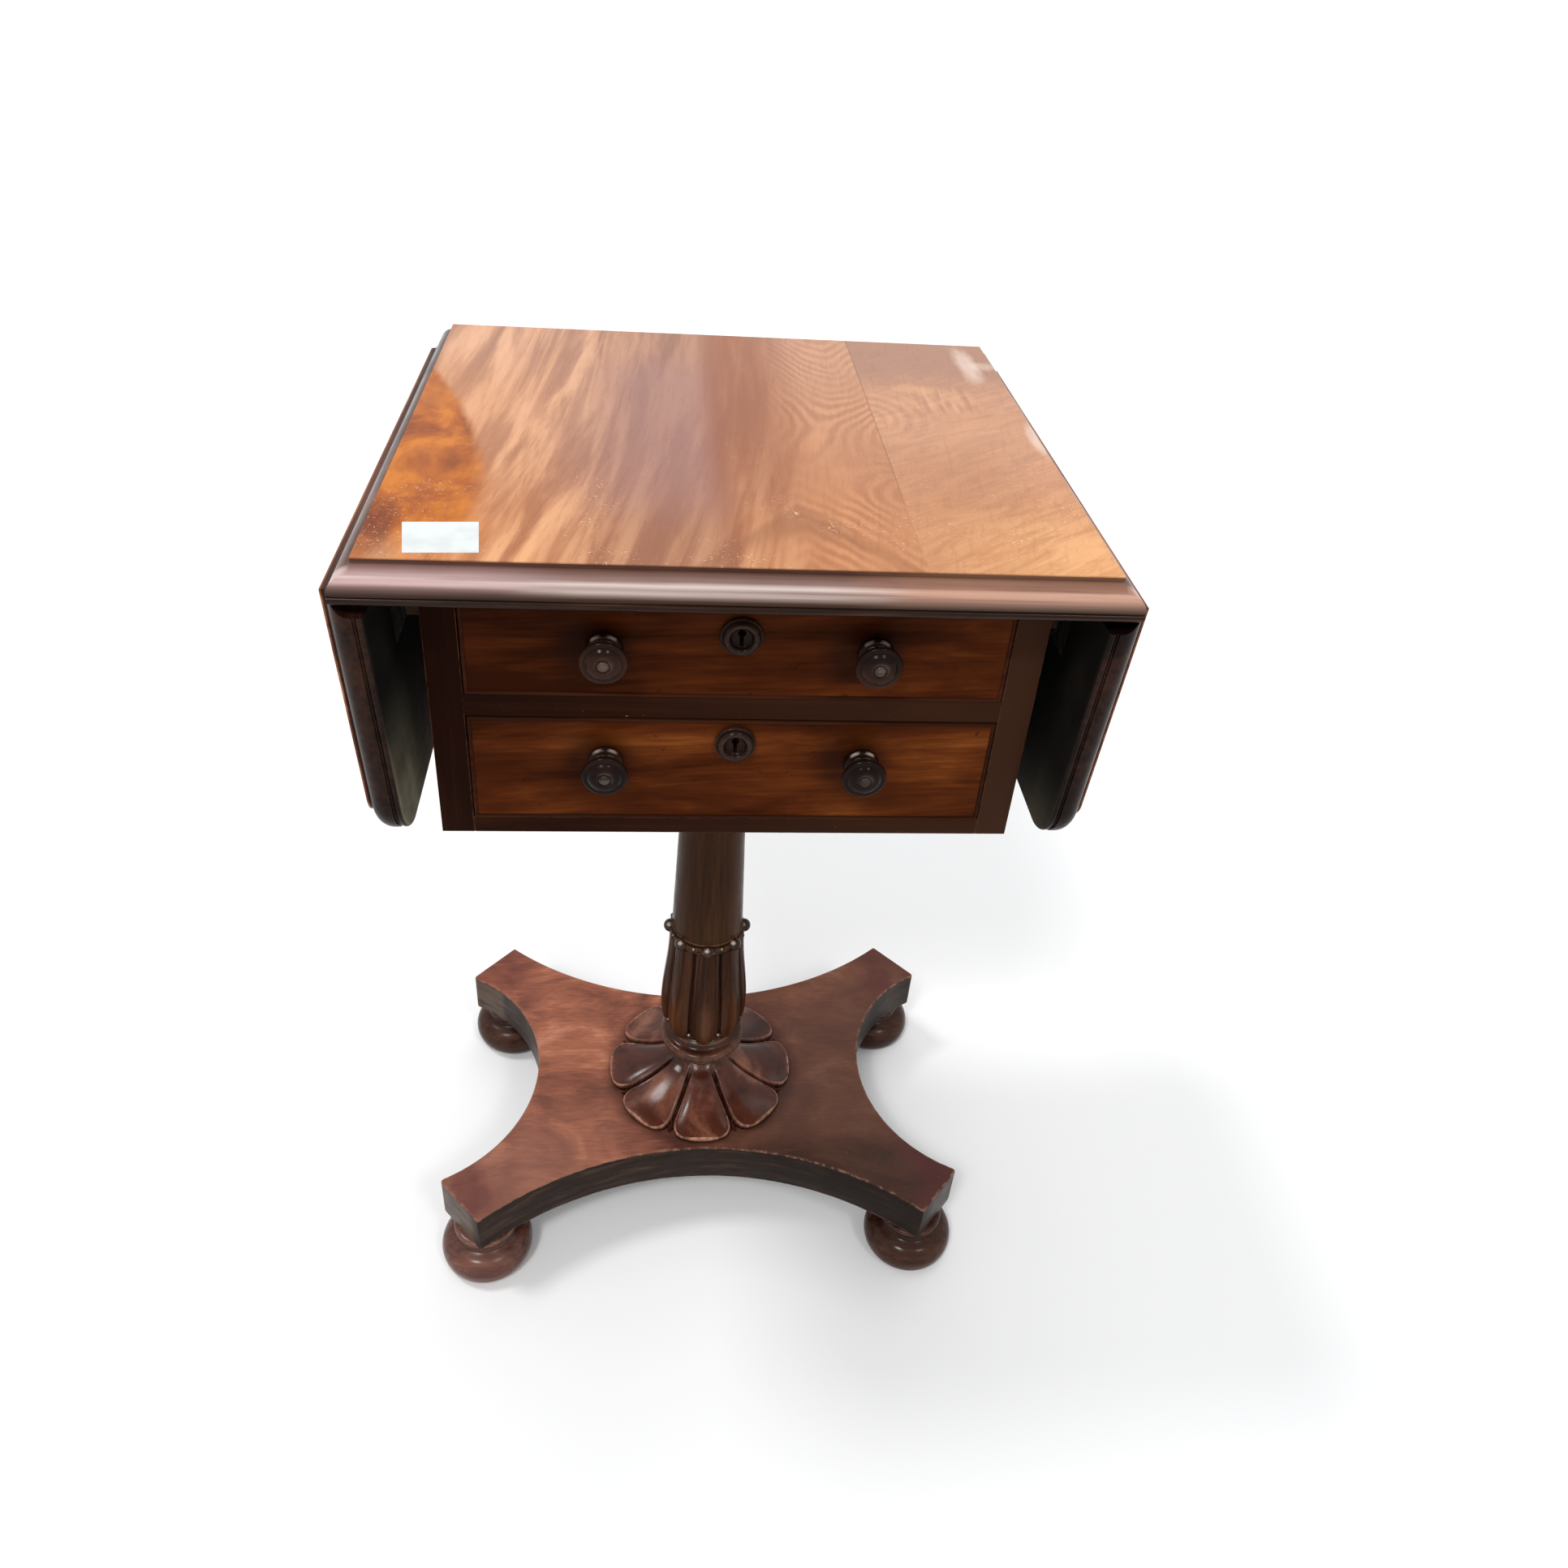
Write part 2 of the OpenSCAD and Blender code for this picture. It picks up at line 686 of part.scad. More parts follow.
// Half of a hinge reaching from its knuckle out along +X, under the wood at z = -axis_to_under
module hinge_half(reach, outer_knuckles) {
  outer_l = (hinge_l - knuckle_l) / 2 - joint_gap;
  parts = outer_knuckles ? [-1, 1] : [0];
  part_l = outer_knuckles ? outer_l : knuckle_l;
  difference() {
    union() {
      translate([knuckle_clear, -hinge_l / 2, -axis_to_under]) cube([reach - knuckle_clear, hinge_l, plate_t]);
      for (part = parts) translate([0, part * (hinge_l - outer_l) / 2, 0]) {
        rod_y(knuckle_r, part_l);
        translate([0, -part_l / 2, -axis_to_under]) cube([knuckle_r, part_l, axis_to_under]);
        translate([0, -part_l / 2, -axis_to_under]) cube([knuckle_clear + over, part_l, plate_t]);
      }
    }
    rod_y(hinge_pin_r + 0.05, hinge_l + over);
    translate([0, 0, -axis_to_under]) at_plate_screws(knuckle_clear, reach)
      screw_hole(hinge_screw_r, hinge_screw_head_r, hinge_screw_l);
  }
}

module right_plates() {
  color(brass) translate([axis_x, 0, axis_z]) mirror([1, 0, 0]) at_hinges() hinge_half(plate_l, false);
}

module hinge_pins() {
  color(steel) both_sides() translate([axis_x, 0, axis_z]) at_hinges() rod_y(hinge_pin_r, hinge_l);
}

module hinge_plate_screws() {
  color(steel) both_sides() translate([axis_x, 0, axis_z]) mirror([1, 0, 0]) at_hinges()
    translate([0, 0, -axis_to_under]) at_plate_screws(knuckle_clear, plate_l)
      screw(hinge_screw_r, hinge_screw_head_r, hinge_screw_l);
}

// Leaves, each drawn on the right and mirrored for the left

module leaf() {
  inside_u = leaf_w - leaf_corner_r;
  inside_v = half_depth - leaf_corner_r;
  color(polished) hanging()
  difference() {
    translate([0, 0, joint_drop]) union() {
      translate([inside_u / 2, 0, 0]) rotate([90, 0, 90]) linear_extrude(inside_u, center = true)
        for (flip = [0, 1]) mirror([flip, 0]) translate([top_d / 2, 0]) edge_outline(top_d / 2);
      rotate([90, 0, 0]) linear_extrude(2 * inside_v, center = true)
        translate([leaf_w - edge_r, 0]) edge_outline(leaf_w - edge_r);
      for (flip = [0, 1]) mirror([0, flip, 0]) translate([inside_u, inside_v, 0])
        rotate_extrude(angle = 90) translate([leaf_corner_r - edge_r, 0]) edge_outline(leaf_corner_r - edge_r);
    }
    rod_y(joint_r + joint_gap, 2 * half_depth + 2 * over);
    translate([-over, -half_depth - over, -top_t])
      cube([over + joint_r + joint_gap, 2 * (half_depth + over), top_t]);
    translate([-over, -half_depth - over, 0]) cube([over + joint_gap, 2 * (half_depth + over), top_t]);
    at_hinges() {
      translate([0, -hinge_l / 2, -axis_to_under - over]) cube([strap_l, hinge_l, plate_t + over]);
      translate([0, 0, -axis_to_under]) at_plate_screws(knuckle_clear, strap_l)
        cylinder(r = hinge_screw_r + fit_gap, h = hinge_screw_l + fit_gap);
    }
  }
}

module straps() {
  color(brass) hanging() at_hinges() hinge_half(strap_l, true);
}

module strap_screws() {
  color(steel) hanging() at_hinges() translate([0, 0, -axis_to_under])
    at_plate_screws(knuckle_clear, strap_l) screw(hinge_screw_r, hinge_screw_head_r, hinge_screw_l);
}

// Fly brackets, drawn on the right and mirrored for the left

bracket_top = under_top - running_gap;
bracket_screw_l = bracket_t + side_t - 4;
knuckle_wood_r = bracket_t / 2 - arm_gap;

module at_bracket_screws() {
  for (i = [0, 1])
    translate([box_x, bracket_y - bracket_rail_l * (0.3 + 0.5 * i), under_top - bracket_h / 2]) children();
}

// One finger of the wooden bracket joint, reaching along Y to the side that sign gives
module finger(i, sign, gap) {
  translate([0, 0, bracket_bottom + i * finger_h + gap / 2]) {
    cylinder(r = knuckle_wood_r, h = finger_h - gap);
    translate([-knuckle_wood_r, sign > 0 ? 0 : -bracket_t, 0])
      cube([2 * knuckle_wood_r, bracket_t, finger_h - gap]);
  }
}

bracket_bottom = under_top - bracket_h;

module bracket_rail() {
  color(dark_wood)
  difference() {
    union() {
      board([box_x, bracket_y - bracket_rail_l, bracket_bottom],
        [box_x + bracket_t, bracket_y - bracket_t / 2 - arm_gap, under_top]);
      translate([bracket_pin_x, bracket_y, 0]) for (i = [0 : 2 : 4]) finger(i, -1, finger_gap);
    }
    translate([bracket_pin_x, bracket_y, bracket_bottom - over])
      cylinder(r = bracket_pin_r + fit_gap / 2, h = bracket_h + 2 * over);
    translate([bracket_t, 0, 0]) at_bracket_screws() rotate([0, -90, 0])
      screw_hole(screw_r, screw_head_r, bracket_screw_l);
  }
}

module fly_bracket() {
  rake = bracket_h - arm_end_h;
  reach = bracket_arm_l - bracket_t / 2 - arm_gap;
  thick = bracket_t - 2 * arm_gap;
  color(dark_wood)
  difference() {
    translate([bracket_pin_x, bracket_y, 0]) {
      translate([-thick / 2, bracket_t / 2 + arm_gap, 0]) rotate([90, 0, 90]) linear_extrude(thick)
        difference() {
          translate([0, bracket_bottom]) square([reach, bracket_top - bracket_bottom]);
          translate([reach, bracket_bottom]) circle(rake);
        }
      for (i = [1, 3]) finger(i, 1, finger_gap);
    }
    translate([bracket_pin_x, bracket_y, bracket_bottom - over])
      cylinder(r = bracket_pin_r + fit_gap / 2, h = bracket_h + 2 * over);
  }
}

module bracket_pins() {
  color(steel) both_sides() translate([bracket_pin_x, bracket_y, bracket_bottom])
    cylinder(r = bracket_pin_r, h = bracket_h - running_gap);
}

module wood_screws() {
  color(steel) {
    at_plate_corners() translate([0, 0, plate_bottom]) screw(screw_r, screw_head_r, plate_screw_l);
    at_top_screws() screw(screw_r, screw_head_r, screw_l);
    both_sides() translate([bracket_t, 0, 0]) at_bracket_screws() rotate([0, -90, 0])
      screw(screw_r, screw_head_r, bracket_screw_l);
  }
}

// Drawers: each module takes the height of its opening's floor and the opening's height

front_x0 = inner_x - drawer_gap;
drawer_side_x = front_x0 - drawer_side_t;
drawer_back_y = inner_back - drawer_back_room;
front_back = -box_y + front_t;
lock_front = front_back - lock_d;
bolt_y = front_back - lock_d / 2;

function front_low(floor) = floor + running_gap;
function front_high(floor, opening) = floor + opening - drawer_gap;
function keyhole_z(floor, opening) = front_high(floor, opening) - keyhole_drop;

// Keyhole cut along Y, with its round part at height z
module keyhole_cut(z, length) {
  translate([0, -box_y, z]) rotate([90, 0, 0]) {
    cylinder(r = keyhole_r, h = length, center = true);
    translate([-keyhole_slot_w / 2, -keyhole_slot_l, -length / 2]) cube([keyhole_slot_w, keyhole_slot_l, length]);
  }
}

module drawer_front(floor, opening, lift) {
  low = front_low(floor);
  high = front_high(floor, opening);
  color(polished)
  difference() {
    union() {
      board([-front_x0, -box_y + bead_d - bead_proud, low], [front_x0, front_back, high]);
      board([-front_x0 + bead_w, -box_y, low + bead_w], [front_x0 - bead_w, front_back, high - bead_w]);
    }
    board([-lock_w / 2, lock_front, high - lock_h], [lock_w / 2, front_back + over, high + over]);
    keyhole_cut(keyhole_z(floor, opening), 2 * front_t);
    for (side = [-1, 1]) translate([side * knob_x, -box_y, (low + high) / 2 + lift]) rotate([-90, 0, 0])
      translate([0, 0, -over]) cylinder(r = knob_peg_r + fit_gap, h = knob_peg_l + over + fit_gap);
  }
}

module drawer_side(floor, opening) {
  color(plain_wood)
  board([drawer_side_x, front_back, front_low(floor)],
    [front_x0, drawer_back_y, front_high(floor, opening) - drawer_side_drop]);
}

module drawer_back(floor, opening) {
  color(plain_wood)
  board([-drawer_side_x, drawer_back_y - drawer_back_t, front_low(floor) + drawer_bottom_lift + drawer_bottom_t],
    [drawer_side_x, drawer_back_y, front_high(floor, opening) - drawer_side_drop]);
}

module drawer_bottom(floor) {
  low = front_low(floor) + drawer_bottom_lift;
  color(plain_wood)
  board([-drawer_side_x, front_back, low], [drawer_side_x, drawer_back_y, low + drawer_bottom_t]);
}

module drawer_bead(floor, opening) {
  low = front_low(floor);
  high = front_high(floor, opening);
  back = -box_y + bead_d - bead_proud;
  color(dark_wood)
  difference() {
    board([-front_x0, -box_y - bead_proud, low], [front_x0, back, high]);
    board([-front_x0 + bead_w, -box_y - bead_proud - over, low + bead_w],
      [front_x0 - bead_w, back + over, high - bead_w]);
  }
}

// Knob turned about its own axis, with its foot on the drawer front and its face at knob_l
module knob() {
  rim_z = knob_l - 5;
  rotate_extrude() polygon([
    [0, -knob_peg_l], [knob_peg_r, -knob_peg_l], [knob_peg_r, 0], [9, 0], [9.4, 1.5], [8.6, 3],
    [6.8, 4.5], [6.6, 6.5], [8.6, 8.2], [11, 9.6], [12, 11.6], [11.6, 13.8], [10.2, 15.4],
    [9.8, 16.6], [knob_r - 2, rim_z - 2], [knob_r - 0.5, rim_z - 0.6], [knob_r, rim_z + 1],
    [knob_r - 0.6, rim_z + 2.4], [knob_r - 2, rim_z + 3], [knob_r - 3.6, rim_z + 2.2],
    [knob_r - 5, rim_z + 1.8], [knob_r - 6.4, rim_z + 2.8], [knob_r - 8, rim_z + 4.4],
    [knob_r - 10, knob_l - 0.2], [0, knob_l]
  ]);
}

module drawer_knobs(floor, opening, lift) {
  z = (front_low(floor) + front_high(floor, opening)) / 2 + lift;
  color(dark_wood)
  for (side = [-1, 1]) translate([side * knob_x, -box_y, z]) rotate([90, 0, 0]) knob();
}

module keyhole_boss(floor, opening) {
  z = keyhole_z(floor, opening) - keyhole_slot_l / 3;
  color(dark_wood)
  difference() {
    translate([0, -box_y, z]) rotate([90, 0, 0]) rotate_extrude() polygon([
      [0, 0], [boss_r, 0], [boss_r, boss_t * 0.3], [boss_r - 1, boss_t * 0.6],
      [boss_r - 3, boss_t * 0.9], [boss_r - 5, boss_t], [boss_r - 6.5, boss_t * 0.85],
      [boss_r - 8, boss_t * 0.7], [0, boss_t * 0.65]
    ]);
    keyhole_cut(keyhole_z(floor, opening), 4 * boss_t);
  }
}

module lock_case(floor, opening) {
  high = front_high(floor, opening);
  z = keyhole_z(floor, opening);
  color(brass) {
    difference() {
      board([-lock_w / 2, lock_front, high - lock_h], [lock_w / 2, front_back, high]);
      board([-lock_w / 2 + lock_wall, lock_front + lock_wall, high - lock_h + lock_wall],
        [lock_w / 2 - lock_wall, front_back - lock_wall, high - lock_wall]);
      translate([0, bolt_y, high])
        cube([bolt_w + 2 * bolt_gap, bolt_t + 2 * bolt_gap, 4 * lock_wall], center = true);
      translate([0, -lock_d / 2 + front_t / 2, 0]) keyhole_cut(z, 2 * lock_wall + front_t - lock_d);
    }
    translate([0, front_back - lock_wall, z]) rotate([90, 0, 0])
      cylinder(r = key_pin_r, h = lock_d - 2 * lock_wall);
  }
}

module lock_bolt(floor, opening) {
  top = front_high(floor, opening) - 0.5;
  color(steel)
  board([-bolt_w / 2, bolt_y - bolt_t / 2, top - bolt_h], [bolt_w / 2, bolt_y + bolt_t / 2, top]);
}

platform();
translate([-foot_x, -foot_y, 0]) foot();  // front_left_foot
translate([foot_x, -foot_y, 0]) foot();  // front_right_foot
translate([-foot_x, foot_y, 0]) foot();  // back_left_foot
translate([foot_x, foot_y, 0]) foot();  // back_right_foot
lotus_collar();
turned_collar();
lobed_baluster();
column();
column_plate();
bottom_board();
mirror([1, 0, 0]) box_side();  // left_side
box_side();  // right_side
back_panel();
bottom_rail();
middle_rail();
top_rail();
dust_board();
drawer_runners();
top_strips();
drawer_stops();
table_top();
wood_screws();
mirror([1, 0, 0]) right_plates();  // left_hinge_plates
right_plates();  // right_hinge_plates
hinge_pins();
hinge_plate_screws();
mirror([1, 0, 0]) bracket_rail();  // left_bracket_rail
bracket_rail();  // right_bracket_rail
bracket_pins();
mirror([1, 0, 0]) leaf();  // left_leaf
mirror([1, 0, 0]) straps();  // left_hinge_straps
mirror([1, 0, 0]) strap_screws();  // left_strap_screws
leaf();  // right_leaf
straps();  // right_hinge_straps
strap_screws();  // right_strap_screws
mirror([1, 0, 0]) fly_bracket();  // left_fly_bracket
fly_bracket();  // right_fly_bracket
drawer_front(upper_floor, upper_opening_h, upper_knob_lift);  // upper_drawer_front
mirror([1, 0, 0]) drawer_side(upper_floor, upper_opening_h);  // upper_drawer_left_side
drawer_side(upper_floor, upper_opening_h);  // upper_drawer_right_side
drawer_back(upper_floor, upper_opening_h);  // upper_drawer_back
drawer_bottom(upper_floor);  // upper_drawer_bottom
drawer_bead(upper_floor, upper_opening_h);  // upper_drawer_bead
drawer_knobs(upper_floor, upper_opening_h, upper_knob_lift);  // upper_drawer_knobs
keyhole_boss(upper_floor, upper_opening_h);  // upper_keyhole_boss
lock_case(upper_floor, upper_opening_h);  // upper_lock_case
lock_bolt(upper_floor, upper_opening_h);  // upper_lock_bolt
drawer_front(lower_floor, lower_opening_h, lower_knob_lift);  // lower_drawer_front
mirror([1, 0, 0]) drawer_side(lower_floor, lower_opening_h);  // lower_drawer_left_side
drawer_side(lower_floor, lower_opening_h);  // lower_drawer_right_side
drawer_back(lower_floor, lower_opening_h);  // lower_drawer_back
drawer_bottom(lower_floor);  // lower_drawer_bottom
drawer_bead(lower_floor, lower_opening_h);  // lower_drawer_bead
drawer_knobs(lower_floor, lower_opening_h, lower_knob_lift);  // lower_drawer_knobs
keyhole_boss(lower_floor, lower_opening_h);  // lower_keyhole_boss
lock_case(lower_floor, lower_opening_h);  // lower_lock_case
lock_bolt(lower_floor, lower_opening_h);  // lower_lock_bolt
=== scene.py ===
"""Looks for a mahogany drop-leaf work table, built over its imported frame. Metres, +Z up."""
import json
import math

import bmesh
import bpy
from mathutils import Matrix, Vector


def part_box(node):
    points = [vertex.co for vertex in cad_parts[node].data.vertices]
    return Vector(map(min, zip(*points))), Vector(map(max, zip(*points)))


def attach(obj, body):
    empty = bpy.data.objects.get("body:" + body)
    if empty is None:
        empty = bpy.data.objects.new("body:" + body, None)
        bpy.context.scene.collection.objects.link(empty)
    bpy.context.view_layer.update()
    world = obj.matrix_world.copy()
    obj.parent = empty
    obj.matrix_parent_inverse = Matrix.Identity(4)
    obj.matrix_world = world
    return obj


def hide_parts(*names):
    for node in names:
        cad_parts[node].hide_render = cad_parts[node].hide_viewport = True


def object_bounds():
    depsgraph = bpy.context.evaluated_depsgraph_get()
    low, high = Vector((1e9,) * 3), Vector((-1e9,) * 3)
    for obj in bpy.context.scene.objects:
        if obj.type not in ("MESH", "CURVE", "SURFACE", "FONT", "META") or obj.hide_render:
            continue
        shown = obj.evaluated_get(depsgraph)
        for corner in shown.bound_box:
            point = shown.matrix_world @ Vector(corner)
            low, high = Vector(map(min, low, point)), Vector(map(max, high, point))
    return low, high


MM = 0.001
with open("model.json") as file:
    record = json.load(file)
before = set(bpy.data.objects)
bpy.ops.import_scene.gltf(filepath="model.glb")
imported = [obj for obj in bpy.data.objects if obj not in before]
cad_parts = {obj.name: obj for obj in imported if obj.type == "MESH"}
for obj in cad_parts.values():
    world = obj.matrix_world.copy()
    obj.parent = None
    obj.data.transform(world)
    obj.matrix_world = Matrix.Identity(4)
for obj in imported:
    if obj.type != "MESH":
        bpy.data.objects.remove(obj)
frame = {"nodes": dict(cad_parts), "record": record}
nodes = frame["nodes"]
cad_low, cad_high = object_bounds()
lobes = 8
keyhole_tall = 8.0


# Colours and materials. Colours are written as they look on a screen, 0 to 255.

def rgb(colour):
    """The colour in linear light, with full alpha."""
    return tuple(((c / 255 + 0.055) / 1.055) ** 2.4 if c > 10 else c / 3294.6 for c in colour) + (1.0,)


def dimmed(colour, share):
    return [c * share for c in colour]


class Value:
    """What a node of a graph gives. Adding, multiplying and so on makes the nodes that work it out."""

    def __init__(self, graph, socket):
        self.graph, self.socket = graph, socket

    def __add__(self, other):
        return self.graph.math("ADD", self, other)

    def __radd__(self, other):
        return self.graph.math("ADD", other, self)

    def __sub__(self, other):
        return self.graph.math("SUBTRACT", self, other)

    def __rsub__(self, other):
        return self.graph.math("SUBTRACT", other, self)

    def __mul__(self, other):
        return self.graph.math("MULTIPLY", self, other)

    def __truediv__(self, other):
        return self.graph.math("DIVIDE", self, other)

    def __abs__(self):
        return self.graph.math("ABSOLUTE", self)


class Graph:
    """Short names for building one material's nodes."""

    def __init__(self, name):
        self.material = bpy.data.materials.new(name)
        self.material.use_nodes = True
        self.nodes = self.material.node_tree.nodes
        self.links = self.material.node_tree.links
        self.nodes.clear()
        self.shader = self.add("ShaderNodeBsdfPrincipled")
        output = self.add("ShaderNodeOutputMaterial")
        self.links.new(self.shader.outputs["BSDF"], output.inputs["Surface"])
        split = self.add("ShaderNodeSeparateXYZ")
        self.links.new(self.add("ShaderNodeTexCoord").outputs["Object"], split.inputs[0])
        self.x, self.y, self.z = (Value(self, socket) for socket in split.outputs)

    def add(self, kind, **settings):
        node = self.nodes.new(kind)
        for key, value in settings.items():
            setattr(node, key, value)
        return node

    def put(self, socket, value):
        """Links what another node gives, or sets a number or a colour."""
        if isinstance(value, Value):
            self.links.new(value.socket, socket)
        elif isinstance(value, (tuple, list)) and len(value) == 3:
            socket.default_value = rgb(value)
        else:
            socket.default_value = value

    def fill(self, node, values):
        """Puts the values in the node's inputs, in their order, and gives its first output."""
        for socket, value in zip(node.inputs, values):
            self.put(socket, value)
        return Value(self, node.outputs[0])

    def math(self, operation, *values):
        return self.fill(self.add("ShaderNodeMath", operation=operation), values)

    def length(self, first, second):
        return self.math("SQRT", first * first + second * second)

    def between(self, value, low, high, to_low=0.0, to_high=1.0):
        """value brought from low..high to to_low..to_high, smoothly and kept inside it."""
        node = self.add("ShaderNodeMapRange", interpolation_type="SMOOTHSTEP")
        return self.fill(node, (value, low, high, to_low, to_high))

    def mix(self, factor, first, second):
        node = self.add("ShaderNodeMix", data_type="RGBA")
        self.put(node.inputs["Factor"], factor)
        self.put(node.inputs[6], first)
        self.put(node.inputs[7], second)
        return Value(self, node.outputs[2])

    def vector(self, x, y, z):
        return self.fill(self.add("ShaderNodeCombineXYZ"), (x, y, z))

    def stretched(self, x, y, z, shift=(0, 0, 0)):
        """The piece's own coordinates times x, y and z, after a shift."""
        parts = [(value + by) * times for value, by, times in zip((self.x, self.y, self.z), shift, (x, y, z))]
        return self.vector(*parts)

    def noise(self, vector, detail=2.0, rough=0.5, warp=0.0):
        node = self.add("ShaderNodeTexNoise")
        for name, value in (("Vector", vector), ("Scale", 1.0), ("Detail", detail), ("Roughness", rough),
                            ("Distortion", warp)):
            self.put(node.inputs[name], value)
        return Value(self, node.outputs["Fac"])

    def cloud(self, x, y, z, detail=2.0, rough=0.5, warp=0.0, shift=(0, 0, 0)):
        """Noise over the piece's own coordinates times x, y and z."""
        return self.noise(self.stretched(x, y, z, shift), detail, rough, warp)

    def over(self, mask, tint):
        """Paints a tint over the piece's colour so far, where the mask is 1."""
        self.colour = self.mix(mask, self.colour, tint)

    def ramp(self, factor, stops):
        node = self.add("ShaderNodeValToRGB")
        ramp = node.color_ramp
        while len(ramp.elements) < len(stops):
            ramp.elements.new(0.5)
        for element, (place, colour) in zip(ramp.elements, stops):
            element.position = place
            element.color = rgb(colour)
        self.put(node.inputs["Fac"], factor)
        return Value(self, node.outputs["Color"])

    def bump(self, height, strength, distance, before=None):
        node = self.add("ShaderNodeBump")
        self.put(node.inputs["Height"], height)
        node.inputs["Strength"].default_value = strength
        node.inputs["Distance"].default_value = distance
        if before is not None:
            self.put(node.inputs["Normal"], before)
        return Value(self, node.outputs["Normal"])

    def attribute(self, name):
        return Value(self, self.add("ShaderNodeAttribute", attribute_name=name).outputs["Fac"])

    def finish(self, roughness, normal=None, metal=0.0, specular=0.5):
        sockets = self.shader.inputs
        self.put(sockets["Base Color"], self.colour)
        self.put(sockets["Roughness"], roughness)
        if normal is not None:
            self.put(sockets["Normal"], normal)
        sockets["Metallic"].default_value = metal
        sockets["Specular IOR Level"].default_value = specular
        return self.material

    def varnish(self, grain, strength, patches, swell_strength, smoothest, roughest, specular,
                depth=0.0004, swell=0.002):
        """Finishes wood: the grain shows faintly, and the surface swells and dulls from patch to patch."""
        normal = self.bump(grain, strength, depth)
        normal = self.bump(patches, swell_strength, swell, normal)
        return self.finish(self.between(patches, 0.3, 0.75, smoothest, roughest), normal, specular=specular)


# How many waves of each kind of grain go into a metre, across it and along it
FIGURE, STREAKS, PORES = (16, 2.2), (190, 7), (900, 38)


def grain(g, kind, along, shift, scale=1.0):
    """Coordinates for noise that is drawn out along one axis."""
    across, length = kind
    sizes = [across * scale] * 3
    sizes["XYZ".index(along)] = length * scale
    return g.stretched(*sizes, shift=shift)


def wood(name, deep, body, glow, along, shift=(0.0, 0.0, 0.0), rough=0.3, wear_and_highlight=None, bare=False, specks=0.0,
         specular=0.15, east=None):
    """Wood with its grain along one axis, with a colour for worn edges when given, and east, which tints the
    table's right side.
    """
    g = Graph(name)
    figure = g.noise(grain(g, FIGURE, along, shift), 3.0, 0.55, 0.8)
    streak = g.noise(grain(g, STREAKS, along, shift), 4.0, 0.62)
    pores = g.between(g.noise(grain(g, PORES, along, shift)), 0.60, 0.74)
    tone = figure * 0.62 + streak * 0.38
    g.colour = g.ramp(tone, [(0.33, deep), (0.5, body), (0.67, glow)])
    cloud = g.cloud(7, 7, 7, shift=shift)
    g.over(g.between(cloud, 0.35, 0.7, 0.0, 0.35), dimmed(deep, 0.72))
    g.over(pores * 0.45, dimmed(deep, 0.5))
    if east:
        g.over(g.between(g.x, -0.16, 0.17, 0.0, 0.75), east)
    if specks:
        dust = g.between(g.cloud(420, 420, 420, shift=shift), 0.73, 0.8)
        where = g.between(g.cloud(11, 11, 11, shift=shift), 0.42, 0.7)
        g.over(dust * where * specks, (205, 180, 160))
    if wear_and_highlight:
        worn = g.attribute("wear_and_highlight")
        breakup = g.between(g.cloud(130, 130, 130, 3.0, 0.6, shift=shift), 0.36, 0.62)
        g.over(worn * breakup, wear_and_highlight)
        g.over(g.attribute("grime_and_shade"), dimmed(deep, 0.3))
    patches = g.cloud(34, 34, 34, 3.0, 0.6, shift=shift)
    height = streak * 0.35 - pores
    return g.varnish(height, 0.35 if bare else 0.14, patches, 0.1, rough, rough + 0.16, specular)


def turned(name, deep, body, glow, shift, along="Z", rough=0.2, specular=0.15, texture=1.0, highlight_and_wear=None):
    """Polished turned or carved wood with worn crests. Its last colour, when given, stands in for glow where
    it is worn and where highlights are painted.
    """
    g = Graph(name)
    figure = g.noise(grain(g, FIGURE, along, shift, 1.5), 3.0, 0.55, 0.6)
    streak = g.noise(grain(g, STREAKS, along, shift, 1.5), 3.0, 0.6)
    share = 0.4 * texture
    tone = figure * (1.0 - share) + streak * share
    lit = [b * 0.6 + h * 0.4 for b, h in zip(body, glow)]
    g.colour = g.ramp(tone, [(0.36, deep), (0.52, body), (0.68, lit)])
    # Worn crests, and on the knobs and beads painted highlights, get the last colour or glow.
    worn = g.attribute("wear_and_highlight") * g.between(streak, 0.35, 0.6, 0.35, 0.95)
    g.over(worn, highlight_and_wear or glow)
    # Hollows darken with grime and painted shade.
    g.over(g.attribute("grime_and_shade"), dimmed(deep, 0.22))
    patches = g.cloud(50, 50, 50, shift=shift)
    return g.varnish(streak, 0.1 * texture, patches, 0.05 * texture, rough, rough + 0.14, specular,
                     swell=0.0015)


def metal(name, colour, rough, tarnish):
    g = Graph(name)
    cloud = g.cloud(160, 160, 160, 4.0, 0.6)
    fine = g.cloud(900, 900, 900)
    g.colour = g.mix(g.between(cloud, 0.4, 0.65, 0.0, 0.8), colour, tarnish)
    roughness = g.between(cloud, 0.3, 0.7, rough, rough + 0.25)
    return g.finish(roughness, g.bump(fine, 0.15, 0.0002), metal=1.0)


